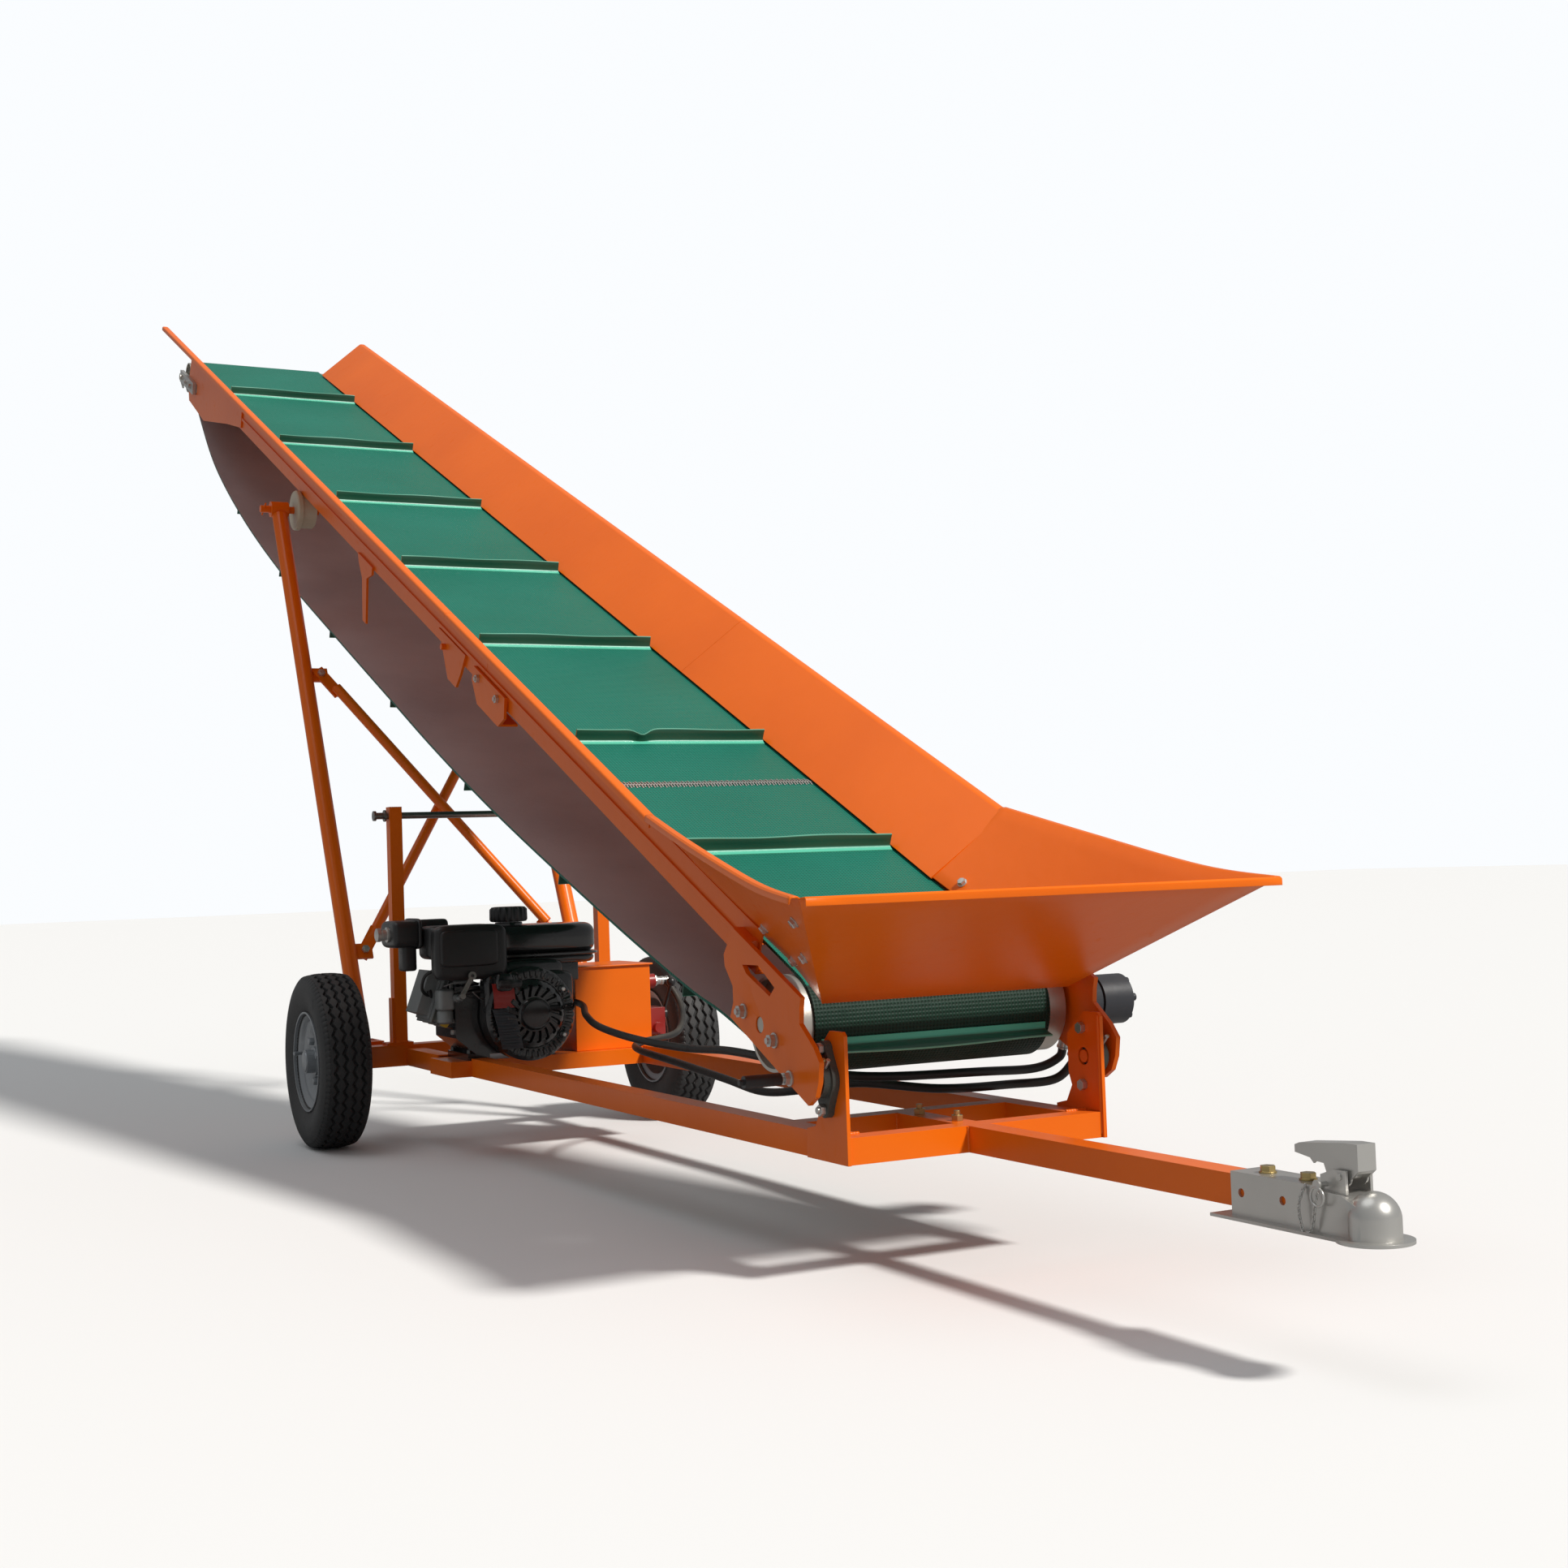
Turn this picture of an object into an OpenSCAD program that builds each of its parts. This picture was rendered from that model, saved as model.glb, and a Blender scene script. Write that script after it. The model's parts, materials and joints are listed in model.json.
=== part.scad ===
// Towable belt conveyor for grain and seed: feed hopper, cleated belt, swinging lift legs,
// two-wheel chassis with drawbar, small engine, oil tank and hydraulic belt drive.
// Millimetres. +Z up, +Y from the drawbar towards the discharge end, +X to the right.

/* [Chassis] */
// Ground to the underside of the chassis tubes
chassis_height = 180; // [150:1:220]
// Outside width over the two chassis rails
chassis_w = 452; // [400:1:520]
// Side of the square chassis tube
tube = 40; // [35:1:50]
// Front cross member to the front of the engine platform
rail_len = 1714; // [1500:1:1900]
// Depth of the engine platform
platform_d = 152; // [120:1:180]
// Front cross member to the front of the axle beam
axle_y = 2107; // [1900:1:2300]
// Side of the square axle beam
axle_tube = 50; // [40:1:60]
// Drawbar length ahead of the front cross member
drawbar_len = 750; // [600:1:900]

/* [Wheels] */
// Tyre outside diameter
tyre_d = 408; // [380:1:440]
// Tyre section width
tyre_w = 117; // [100:1:130]
// Middle of each tyre from the centre line
track_half = 438; // [420:1:480]

/* [Conveyor] */
// Angle of the conveyor above horizontal
incline = 24.6; // [20:0.1:30]
// Tail drum to head roller, measured along the belt
drum_spacing = 4815; // [4000:5:5500]
// Width of the belt
belt_w = 430; // [380:1:480]
// Thickness of the belt
belt_t = 5; // [3:0.5:8]
// Height of the cleats above the belt
cleat_h = 28; // [20:1:40]
// Distance between cleats on the return strand
cleat_pitch = 610; // [500:1:700]
// Rise of the side boards above the belt
board_rise = 122; // [80:1:150]
// Outward reach of the side boards from the belt edge
board_reach = 128; // [60:1:150]
// Radius of the tail drum
drum_r = 75; // [60:1:80]
// Radius of the head roller
head_r = 51; // [40:1:60]

/* [Lift legs] */
// Diameter of the round leg tubes
leg_d = 42; // [38:1:50]
// Leg centre line from the centre line of the machine
leg_x = 304; // [290:1:320]
// Radius of the nylon running rollers
runner_r = 49; // [40:1:55]

/* [Quality] */
// Facets of round parts
smooth = 64; // [32:8:96]

/* [Hidden] */
$fn = smooth;
mid_y = -1868;
belt_rise = 198.4;
half_w = chassis_w / 2;
wall = 3;
axle_mid = axle_y + axle_tube / 2;
axle_z = 24;
platform_z = 35;
platform_end = rail_len + platform_d;
pivot_y = 42;
pivot_z = 124;
pivot_s = pivot_y * cos(incline) + (pivot_z - belt_rise) * sin(incline);
pivot_n = (pivot_z - belt_rise) * cos(incline) - pivot_y * sin(incline);
wrap_gap = 0.4;
top_cleats = [650, 1199, 1812, 2432, 3071, 3754, 4454];
tail_s = 175;
tail_n = -drum_r - belt_t - wrap_gap;
head_s = tail_s + drum_spacing;
head_n = -head_r - belt_t - wrap_gap;
rail_x = 245;
rail_bottom = -38;
arm_x = 262;
arm_t = 8;
splice_s = 1630;
board_start = 500;
board_end = 4910;
edge_x = 207;
lean = atan2(board_rise, board_reach);
board_len = sqrt(board_rise * board_rise + board_reach * board_reach);
leg_foot_y = 2306;
leg_foot_z = 24;
runner_n = rail_bottom - runner_r - 0.6;
runner_s = 3290.5;
runner_y = runner_s * cos(incline) - runner_n * sin(incline);
runner_z = belt_rise + runner_s * sin(incline) + runner_n * cos(incline);
leg_len = sqrt(pow(runner_y - leg_foot_y, 2) + pow(runner_z - leg_foot_z, 2));
leg_tilt = atan2(runner_y - leg_foot_y, runner_z - leg_foot_z);
runner_x = 233;
brace_x = leg_x - 42;
// corners of the right hopper side in the conveyor frame, then the bolts through its two folds
sheet_corners = [[edge_x + 15, 84, 19], [edge_x + 1, 499, 10],
    [edge_x + board_reach, 499, board_rise + 5], [403, -104, 268]];
hopper_fixings = [[1, 2, 0.1, 0.3], [1, 2, 0.3, 0.3], [1, 2, 0.5, 0.3], [2, 3, 0.12, 0.14],
    [2, 3, 0.12, 0.42], [2, 3, 0.1, 0.62]];
brace_ends = [268, 1087];
engine_x = -105;
ball_y = -830;
coupler_bolt_y = [-722, -650];
pin_y = -776;
pin_z = 48;
crank_z = 135;
orange = [0.93, 0.42, 0.12];
steel = [0.62, 0.62, 0.6];
zinc = [0.78, 0.76, 0.7];
black = [0.1, 0.1, 0.11];

// Node to draw, or all

// ---------- frames and small helpers ----------

module chassis() {
    translate([0, mid_y, chassis_height]) children();
}

module conveyor() {
    chassis() translate([0, 0, belt_rise]) rotate([incline, 0, 0]) children();
}

module both_sides() {
    children();
    mirror([1, 0, 0]) children();
}

module box(x0, x1, y0, y1, z0, z1) {
    translate([x0, y0, z0]) cube([x1 - x0, y1 - y0, z1 - z0]);
}

// hollow square tube running along X
module tube_x(x0, x1, y0, z0, side, w) {
    difference() {
        box(x0, x1, y0, y0 + side, z0, z0 + side);
        box(x0 - 1, x1 + 1, y0 + w, y0 + side - w, z0 + w, z0 + side - w);
    }
}

// hollow square tube running along Y
module tube_y(x0, y0, y1, z0, side, w) {
    difference() {
        box(x0, x0 + side, y0, y1, z0, z0 + side);
        box(x0 + w, x0 + side - w, y0 - 1, y1 + 1, z0 + w, z0 + side - w);
    }
}

// cylinder along X from x0 to x1 at a point (y, z)
module rod_x(x0, x1, y, z, d) {
    translate([x0, y, z]) rotate([0, 90, 0]) cylinder(h = x1 - x0, d = d);
}

// cylinder along Y
module rod_y(x, y0, y1, z, d) {
    translate([x, y0, z]) rotate([-90, 0, 0]) cylinder(h = y1 - y0, d = d);
}

// hexagonal head or nut along X
module hex_x(x0, x1, y, z, across) {
    translate([x0, y, z]) rotate([0, 90, 0]) linear_extrude(x1 - x0) hexagon(across);
}

// hexagonal head or nut along Z
module hex_z(x, y, z0, z1, across) {
    translate([x, y, z0]) linear_extrude(z1 - z0) hexagon(across);
}

module hexagon(across) {
    r = across / sqrt(3);
    polygon([for (i = [0:5]) [r * cos(60 * i), r * sin(60 * i)]]);
}

// plate drawn in the plane of Y and Z, between x0 and x1
module side_plate(x0, x1, points) {
    translate([x0, 0, 0]) rotate([90, 0, 90]) linear_extrude(x1 - x0) polygon(points);
}

// round bar between two points
module bar(a, b, d) {
    v = b - a;
    span = norm(v);
    turn = atan2(v[1], v[0]);
    drop = acos(v[2] / span);
    translate(a) rotate([0, drop, turn]) cylinder(h = span, d = d);
}

// Catmull-Rom curve through a list of points, four steps to each stretch
function spline(p, i, t) =
    let (a = p[max(i - 1, 0)], b = p[i], c = p[i + 1], d = p[min(i + 2, len(p) - 1)])
    b + t / 2 * (c - a) + t * t * (a - 2.5 * b + 2 * c - d / 2)
    + t * t * t / 2 * (3 * b - a - 3 * c + d);
function curve(p) =
    [for (i = [0:len(p) - 2], t = [0:0.25:0.75]) spline(p, i, t), p[len(p) - 1]];
function ring(q, i, r, n) =
    let (along = q[min(i + 1, len(q) - 1)] - q[max(i - 1, 0)], t = along / norm(along),
        c = cross(t, [0, 0, 1]), u = c / norm(c), v = cross(u, t))
    [for (k = [0:n - 1]) q[i] + r * (cos(360 * k / n) * u + sin(360 * k / n) * v)];

// round tube swept along a smooth curve, closed at both ends
module hose(points, d, n = 16) {
    q = curve(points);
    last = (len(q) - 1) * n;
    polyhedron(
        points = [for (i = [0:len(q) - 1]) each ring(q, i, d / 2, n)],
        faces = concat([[for (k = [n - 1:-1:0]) k]], [[for (k = [0:n - 1]) last + k]],
            [for (i = [0:len(q) - 2], k = [0:n - 1]) let (a = i * n, m = (k + 1) % n)
                each [[a + k, a + m, a + n + m], [a + k, a + n + m, a + n + k]]]));
}

// ---------- chassis ----------

module main_frame() color(orange) chassis() {
    difference() {
        tube_x(-half_w + 1, half_w - 1, 0, 0, tube, wall);
        box(-tube / 2, tube / 2, -1, tube + 1, -1, tube + 1);
    }
    both_sides() {
        tube_y(half_w - tube, tube, rail_len, 0, tube, wall);
        tube_y(215, platform_end, axle_y, 0, tube, wall);
        rear_arm();
        spindle();
    }
    difference() {
        tube_x(-half_w + tube, half_w - tube, 211, 0, tube, wall);
        rod_z_hole(0, 175);
    }
    difference() {
        box(-273, 273, rail_len, platform_end, 0, platform_z);
        box(-269, 269, rail_len + 4, platform_end - 4, -1, platform_z - 5);
    }
    tube_x(-360, 360, axle_y, -1, axle_tube, 4);
}

module rod_z_hole(x, y) {
    translate([x, y, -1]) cylinder(h = tube + 2, d = 10.2);
}

// stub behind the axle beam that carries the foot pin of a lift leg
module rear_arm() {
    tube_y(leg_x - tube / 2, axle_y + axle_tube, 2262, 2, tube, wall);
    difference() {
        union() {
            box(leg_x - 31, leg_x - 25, 2230, 2334, -2, 52);
            box(leg_x + 25, leg_x + 31, 2230, 2334, -2, 52);
            box(leg_x - 31, leg_x + 31, 2230, 2262, -2, 2);
            box(leg_x - 31, leg_x + 31, 2230, 2262, 42, 52);
        }
        box(leg_x - 25, leg_x + 25, 2263, 2340, -10, 60);
    }
    rod_x(leg_x - 36, leg_x + 36, leg_foot_y, leg_foot_z, 16);
}

// fixed wheel spindle and its flange on the beam end
module spindle() {
    rod_x(354, track_half + 32, axle_mid, axle_z, 25);
    rod_x(360, 368, axle_mid, axle_z, 48);
}

module pivot_plates() color(orange) chassis() both_sides() {
    difference() {
        side_plate(half_w, half_w + 6, [[-5, 0], [-5, 189], [1, 195], [38, 195], [84, 158],
            [84, 96], [76, 76], [92, 50], [120, 44], [122, 0]]);
        rod_x(half_w - 1, half_w + 7, pivot_y, pivot_z, 28);
        for (dz = [-45, 45]) rod_x(half_w - 1, half_w + 7, pivot_y, pivot_z + dz, 10);
    }
}

module pivot_bearings() color([0.45, 0.48, 0.45]) chassis() both_sides() {
    x0 = half_w + 6;
    difference() {
        union() {
            rod_x(x0, x0 + 12, pivot_y, pivot_z, 62);
            rod_x(x0, x0 + 24, pivot_y, pivot_z, 54);
            for (dz = [-45, 45]) rod_x(x0, x0 + 12, pivot_y, pivot_z + dz, 24);
            side_plate(x0, x0 + 12, [[pivot_y - 12, pivot_z - 45], [pivot_y - 30, pivot_z - 8],
                [pivot_y - 30, pivot_z + 8], [pivot_y - 12, pivot_z + 45],
                [pivot_y + 12, pivot_z + 45], [pivot_y + 30, pivot_z + 8],
                [pivot_y + 30, pivot_z - 8], [pivot_y + 12, pivot_z - 45]]);
        }
        rod_x(x0 - 1, x0 + 30, pivot_y, pivot_z, 20.1);
        for (dz = [-45, 45]) rod_x(x0 - 1, x0 + 13, pivot_y, pivot_z + dz, 10);
    }
}

module bearing_bolts() color(zinc) chassis() both_sides() {
    x0 = half_w - 8;
    for (dz = [-45, 45]) {
        rod_x(x0, half_w + 30, pivot_y, pivot_z + dz, 10);
        hex_x(x0 - 1, half_w, pivot_y, pivot_z + dz, 16);
        hex_x(half_w + 18, half_w + 26, pivot_y, pivot_z + dz, 16);
    }
    translate([half_w + 24, pivot_y - 19.3, pivot_z + 19.3]) rotate([45, 0, 0])
        cylinder(h = 17, d = 7);
}

module support_posts() color(orange) chassis() both_sides() {
    difference() {
        union() {
            box(248, 278, axle_mid - 15, axle_mid + 15, 49, 616);
            box(236, 300, axle_mid - 22, axle_mid + 22, 49, 55);
            box(278, 284, axle_mid - 13, axle_mid + 13, 49, 160);
        }
        box(251, 275, axle_mid - 12, axle_mid + 12, 56, 620);
        rod_x(240, 290, axle_mid, 595, 16);
    }
}

module post_rod() color(steel) chassis() {
    rod_x(-308, 308, axle_mid, 595, 16);
    rod_x(-314, -308, axle_mid, 595, 24);
    rod_x(-288, -284, axle_mid, 595, 28);
    rod_x(284, 288, axle_mid, 595, 28);
    translate([298, axle_mid, 575]) cylinder(h = 40, d = 5);
}

module drawbar() color(orange) chassis() {
    difference() {
        tube_y(-tube / 2, -drawbar_len, 211, 0, tube, wall);
        for (y = concat(coupler_bolt_y, [175])) rod_z_hole(0, y);
        rod_z_hole(0, 63);
    }
}

module coupler_body() color(zinc) chassis() {
    difference() {
        union() {
            box(-24, 24, -770, -608, -10, 44);
            side_plate(-27, 27, [[-768, -10], [-768, 41], [-806, 38], [ball_y, 28],
                [ball_y, -10]]);
            translate([0, ball_y, -10]) cylinder(h = 23, d = 62);
            translate([0, ball_y, 13]) sphere(r = 31);
            box(-36, 36, ball_y, -580, -14, -10);
            translate([0, ball_y, -14]) cylinder(h = 4, d = 90);
        }
        box(-tube / 2 - 0.2, tube / 2 + 0.2, -drawbar_len - 0.2, -570, -9.8, tube + 0.2);
        translate([0, ball_y, 11]) sphere(r = 26);
        translate([0, ball_y, -20]) cylinder(h = 31, r = 26);
        for (y = coupler_bolt_y) translate([0, y, -20]) cylinder(h = 80, d = 10.2);
        for (y = [-702, -627]) rod_x(-30, 30, y, 19, 11);
    }
    difference() {
        for (x = [-21, 17]) side_plate(x, x + 4, [[-808, 38], [-808, 66], [-788, 66],
            [-766, 58], [-766, 40]]);
        rod_x(-30, 30, pin_y, pin_z, 6.1);
    }
    rod_x(-23, 23, -798, 58, 8);
}

module coupler_bolts() color([0.8, 0.68, 0.35]) chassis() {
    for (y = coupler_bolt_y) {
        translate([0, y, -22]) cylinder(h = 70, d = 10);
        hex_z(0, y, 46, 53, 17);
        hex_z(0, y, -21, -14, 17);
        translate([0, y, 44]) cylinder(h = 2, d = 22);
    }
    for (y = [63, 175]) {
        translate([0, y, -10]) cylinder(h = 66, d = 10);
        hex_z(0, y, tube, tube + 9, 17);
        hex_z(0, y, -7, 0, 17);
    }
}

module coupler_latch() color(zinc) chassis() {
    difference() {
        union() {
            side_plate(-14, 14, [[-716, 78], [-716, 87], [-724, 90], [-800, 97], [-822, 97],
                [-822, 66], [-810, 56], [-786, 54], [-770, 58], [-765, 70], [-752, 71],
                [-748, 68], [-742, 74]]);
            rod_x(-14, 14, -798, 58, 24);
        }
        side_plate(-11, 11, [[-740, 60], [-725, 83], [-800, 92], [-817, 92], [-817, 40],
            [-740, 40]]);
        rod_x(-16, 16, -798, 58, 8.1);
    }
}

module safety_pin() color(zinc) chassis() {
    rod_x(-34, 28, pin_y, pin_z, 6);
    rod_x(-37, -34, pin_y, pin_z, 12);
    translate([-36, pin_y, pin_z - 14]) rotate([0, 90, 0]) rotate_extrude()
        translate([11, 0]) circle(d = 3);
}

// ---------- wheels ----------

module tyre(x) {
    r = tyre_d / 2;
    h = tyre_w / 2;
    translate([x, axle_mid, axle_z]) rotate([0, 90, 0]) rotate_extrude(convexity = 6)
        polygon([[108.4, -37.4], [116.4, -43.6], [116.4, -50], [150, -h + 1], [172, -h],
            [190, -h + 6], [r - 4, -42],
            [r, -36], [r, -27], [r - 6, -26], [r - 6, -22], [r, -21], [r, -3], [r - 6, -2],
            [r - 6, 2], [r, 3], [r, 21], [r - 6, 22], [r - 6, 26], [r, 27], [r, 36],
            [r - 4, 42], [190, h - 6], [172, h], [150, h - 1],
            [116.4, 50], [116.4, 43.6], [108.4, 37.4]]);
}

module rim(x) {
    translate([x, axle_mid, axle_z]) rotate([0, 90, 0]) {
        rotate_extrude(convexity = 8)
            polygon([[12.55, -34], [30, -34], [30, 8], [62, 14], [84, 26], [96, 26], [96, -40],
                [108, -44], [112, -44], [112, -52], [116, -52], [116, -44], [108, -38],
                [108, 38], [116, 44], [116, 52], [112, 52], [112, 44], [104, 42], [96, 34],
                [82, 34], [58, 22], [34, 16], [34, 34], [12.55, 34]]);
        translate([0, 0, 34]) cylinder(h = 20, d = 54);
        for (a = [0:90:270]) rotate([0, 0, a + 20]) translate([48, 0, 14]) cylinder(h = 14, d = 16);
    }
}

module tyre_left() color([0.13, 0.13, 0.14]) chassis() mirror([1, 0, 0]) tyre(track_half);
module rim_left() color([0.6, 0.62, 0.64]) chassis() mirror([1, 0, 0]) rim(track_half);
module tyre_right() color([0.13, 0.13, 0.14]) chassis() tyre(track_half);
module rim_right() color([0.6, 0.62, 0.64]) chassis() rim(track_half);

// ---------- lift legs ----------

// frame of one leg: origin at the foot pin, +Z along the leg
module leg_frame() {
    chassis() translate([0, leg_foot_y, leg_foot_z]) rotate([-leg_tilt, 0, 0]) children();
}

module leg() {
    difference() {
        union() {
            translate([leg_x, 0, 0]) cylinder(h = leg_len - 20, d = leg_d);
            rod_x(leg_x - 21, leg_x + 21, 0, 0, 40);
            rod_x(leg_x - 24, leg_x + 24, 0, leg_len, 44);
            for (z = brace_ends) box(leg_x - 62, leg_x - 16, -4, 4, z - 20, z + 20);
        }
        rod_x(leg_x - 26, leg_x + 26, 0, 0, 16.1);
        translate([leg_x, 0, 60]) cylinder(h = leg_len - 100, d = leg_d - 6);
        translate([leg_x, 0, 80]) rotate([90, 0, 0]) cylinder(h = 40, d = 8);
        for (z = brace_ends) translate([brace_x, -6, z]) rotate([-90, 0, 0])
            cylinder(h = 12, d = 12);
    }
    rod_x(runner_x - 40, leg_x + 52, 0, leg_len, 20);
    translate([leg_x + 42, -26, leg_len]) rotate([-90, 0, 0]) cylinder(h = 52, d = 5);
}

module leg_left() color(orange) leg_frame() rotate([0, 0, 180]) leg();
module leg_right() color(orange) leg_frame() leg();

// two crossing round braces with flattened ends, bolted to the leg tabs
module cross_braces() color(orange) leg_frame() {
    brace(-1, 20);
    brace(1, -20);
}

module brace(side, y) {
    low = brace_ends[0];
    high = brace_ends[1];
    slope = atan2(2 * brace_x, high - low);
    lie = y > 0 ? 4 : -10;
    bar([side * (brace_x - 32), y, low + 50], [-side * (brace_x - 32), y, high - 50], 27);
    difference() {
        union() {
            for (end = [[side, low, 0], [-side, high, 180]])
                translate([end[0] * brace_x, lie, end[1]]) rotate([0, -side * slope + end[2], 0]) {
                    box(-16, 16, 0, 6, -16, 78);
                    translate([0, y > 0 ? 6 : -2, 52]) cylinder(h = 26, d1 = 12, d2 = 24);
                }
        }
        for (end = [[side, low], [-side, high]])
            translate([end[0] * brace_x, -20, end[1]]) rotate([-90, 0, 0])
                cylinder(h = 40, d = 12);
    }
}

module brace_bolts() color(zinc) leg_frame() {
    for (x = [-1, 1], z = brace_ends) translate([x * brace_x, 0, z]) rotate([-90, 0, 0]) {
        translate([0, 0, -20]) cylinder(h = 40, d = 12);
        translate([0, 0, -18]) linear_extrude(8) hexagon(18);
        translate([0, 0, 10]) linear_extrude(8) hexagon(18);
    }
}

module runner(side) {
    chassis() translate([side * runner_x, runner_y, runner_z]) rotate([0, side * 90, 0])
        rotate_extrude(convexity = 4)
            polygon([[10.05, -26], [runner_r - 4, -26], [runner_r, -22], [runner_r, 12.6],
                [runner_r + 7, 15], [runner_r + 7, 26], [runner_r + 3, 30], [10.05, 30]]);
}

module runner_left() color([0.88, 0.86, 0.76]) runner(-1);
module runner_right() color([0.88, 0.86, 0.76]) runner(1);

// ---------- conveyor frame ----------

// channel section rail between two stations along the belt
module rail(s0, s1, rib0, rib1) {
    box(rail_x - 4, rail_x, s0, s1, rail_bottom, 35);
    box(rail_x - 32, rail_x, s0, s1, rail_bottom, rail_bottom + 4);
    box(rail_x, rail_x + 4, rib0, rib1, -6, 2);
}

module rails_lower() color(orange) conveyor() both_sides() rail(260, splice_s, 323, splice_s);
module rails_upper() color(orange) conveyor() both_sides()
    rail(splice_s + 1, 4760, splice_s + 1, 4079);

// outward leaning side board with a lip along its top
module board(s0, s1) {
    translate([edge_x, s0, 3]) rotate([0, -lean, 0]) {
        cube([board_len, s1 - s0, 3]);
    }
    box(edge_x + board_reach - 4, edge_x + board_reach + 16, s0, s1, board_rise + 1,
        board_rise + 5);
    box(edge_x + board_reach + 13, edge_x + board_reach + 16, s0, s1, board_rise - 9,
        board_rise + 2);
}

module boards_lower() color(orange) conveyor() both_sides() board(board_start, splice_s);
module boards_upper() color(orange) conveyor() both_sides() board(splice_s + 1, board_end);

module belt_bed() color(orange) conveyor() {
    box(-rail_x + 4, rail_x - 4, 300, 4880, -belt_t - 2.4, -belt_t - 0.4);
    for (s = [420:480:4700]) {
        box(-rail_x + 4, rail_x - 4, s, s + 3, -34, -belt_t - 2.4);
        box(-rail_x + 4, rail_x - 4, s, s + 30, -34, -31);
    }
}

module splice_brackets() color(orange) conveyor() both_sides() {
    difference() {
        side_plate(rail_x + 4, rail_x + 10, [[1470, -50], [1500, -78], [1640, -78],
            [1690, -40], [1690, -8], [1480, -8]]);
        for (s = [1520, 1650]) rod_x(rail_x, rail_x + 14, s, -24, 10);
    }
    box(rail_x - 34, rail_x + 10, 1500, 1640, -78, -73);
    side_plate(rail_x, rail_x + 4, [[1480, -38], [1690, -38], [1690, -8], [1480, -8]]);
}

module rail_brackets() color(orange) conveyor() both_sides() {
    side_plate(rail_x, rail_x + 6, [[2520, -30], [2660, -30], [2640, -52], [2600, -80],
        [2560, -180], [2530, -180], [2560, -70], [2520, -50]]);
    side_plate(rail_x, rail_x + 6, [[1760, -8], [1960, -8], [1900, -60], [1860, -96],
        [1800, -96], [1780, -60]]);
    rod_x(rail_x + 6, rail_x + 16, 1900, -34, 14);
}

module tail_arms() color(orange) conveyor() both_sides() {
    difference() {
        side_plate(arm_x, arm_x + arm_t, [[-9, -118], [272, -117], [270, -90], [281, -67],
            [318, -50], [328, -34], [312, 20], [69, 20], [66, 2], [59, -18], [8, -30],
            [-17, -42], [-25, -71], [-24, -96]]);
        side_plate(arm_x - 1, arm_x + arm_t + 1, [[150, -4], [160, -24], [244, -27],
            [262, -20], [212, 3]]);
        rod_x(arm_x - 1, arm_x + arm_t + 1, tail_s, tail_n, 26);
    }
    box(rail_x, arm_x, 285, 322, -40, 16);
    box(rail_x, arm_x, 266, 282, -8, 18);
    rod_x(arm_x - 36, arm_x, pivot_s, pivot_n, 20);
    difference() {
        rod_x(arm_x - 5, arm_x, tail_s, tail_n, 60);
        rod_x(arm_x - 6, arm_x + 1, tail_s, tail_n, 25.1);
    }
}

module arm_bolts() color(zinc) conveyor() both_sides() {
    for (p = [[230, -85], [120, -78], [56, -108]]) {
        rod_x(arm_x + arm_t, arm_x + arm_t + 3, p[0], p[1], 24);
        hex_x(arm_x + arm_t + 3, arm_x + arm_t + 12, p[0], p[1], 18);
        rod_x(arm_x + arm_t, arm_x + arm_t + 16, p[0], p[1], 10);
    }
    for (s = [1520, 1650]) {
        hex_x(rail_x + 10, rail_x + 17, s, -24, 16);
        rod_x(rail_x + 4, rail_x + 20, s, -24, 9.8);
    }
}

module stop_peg() color(black) conveyor() {
    rod_x(-arm_x - arm_t - 78, -arm_x - arm_t - 17, 56, -108, 19);
    rod_x(-arm_x - arm_t - 86, -arm_x - arm_t - 16, 56, -108, 9);
}

// ---------- hopper, drawn in the chassis frame at rest ----------

module hopper_front() color(orange) chassis() {
    a = atan2(161, 289);
    intersection() {
        translate([0, 74, 234]) rotate([-a, 0, 0]) translate([0, -331, 0]) union() {
            linear_extrude(3) polygon([[-224, 331], [224, 331], [408, 0], [-408, 0]]);
            translate([-408, -2, -12]) cube([816, 3, 15]);
        }
        box(-409, 409, -240, 90, 200, 420);
    }
    both_sides() side_plate(219, 222, [[70, 232], [92, 244], [80, 214]]);
}

// one hopper side: a folded sheet from the side board to the front panel
module hopper_sides() color(orange) conveyor() both_sides() difference() {
    side_sheet();
    for (p = hopper_fixings) sheet_frame(p) translate([0, 0, -9])
        cylinder(h = 12, d = 9.8, $fn = 24);
}

module side_sheet() {
    outer = [for (p = sheet_corners) p + [3, 0, 0]];
    polyhedron(points = concat(sheet_corners, outer),
        faces = [[0, 1, 2], [0, 2, 3], [6, 5, 4], [7, 6, 4], [1, 0, 4], [1, 4, 5], [2, 1, 5],
            [2, 5, 6], [3, 2, 6], [3, 6, 7], [0, 3, 7], [0, 7, 4]]);
}

// frame on a fold of the sheet: [second corner, third corner, share of each edge from the first]
module sheet_frame(p) {
    a = sheet_corners[0];
    b = sheet_corners[p[0]] - a;
    c = sheet_corners[p[1]] - a;
    at = a + p[2] * b + p[3] * c;
    across = cross(c, b);
    k = across / norm(across);
    e = b / norm(b);
    f = cross(k, e);
    multmatrix([[e[0], f[0], k[0], at[0]], [e[1], f[1], k[1], at[1]], [e[2], f[2], k[2], at[2]]])
        children();
}

module hopper_bolts() color(zinc) conveyor() both_sides()
    for (p = hopper_fixings) sheet_frame(p) {
        translate([0, 0, -10]) cylinder(h = 14, d = 9);
        translate([0, 0, 0.15]) linear_extrude(6) hexagon(15);
        translate([0, 0, -9]) linear_extrude(5) hexagon(15);
    }

// ---------- head end ----------

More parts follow.
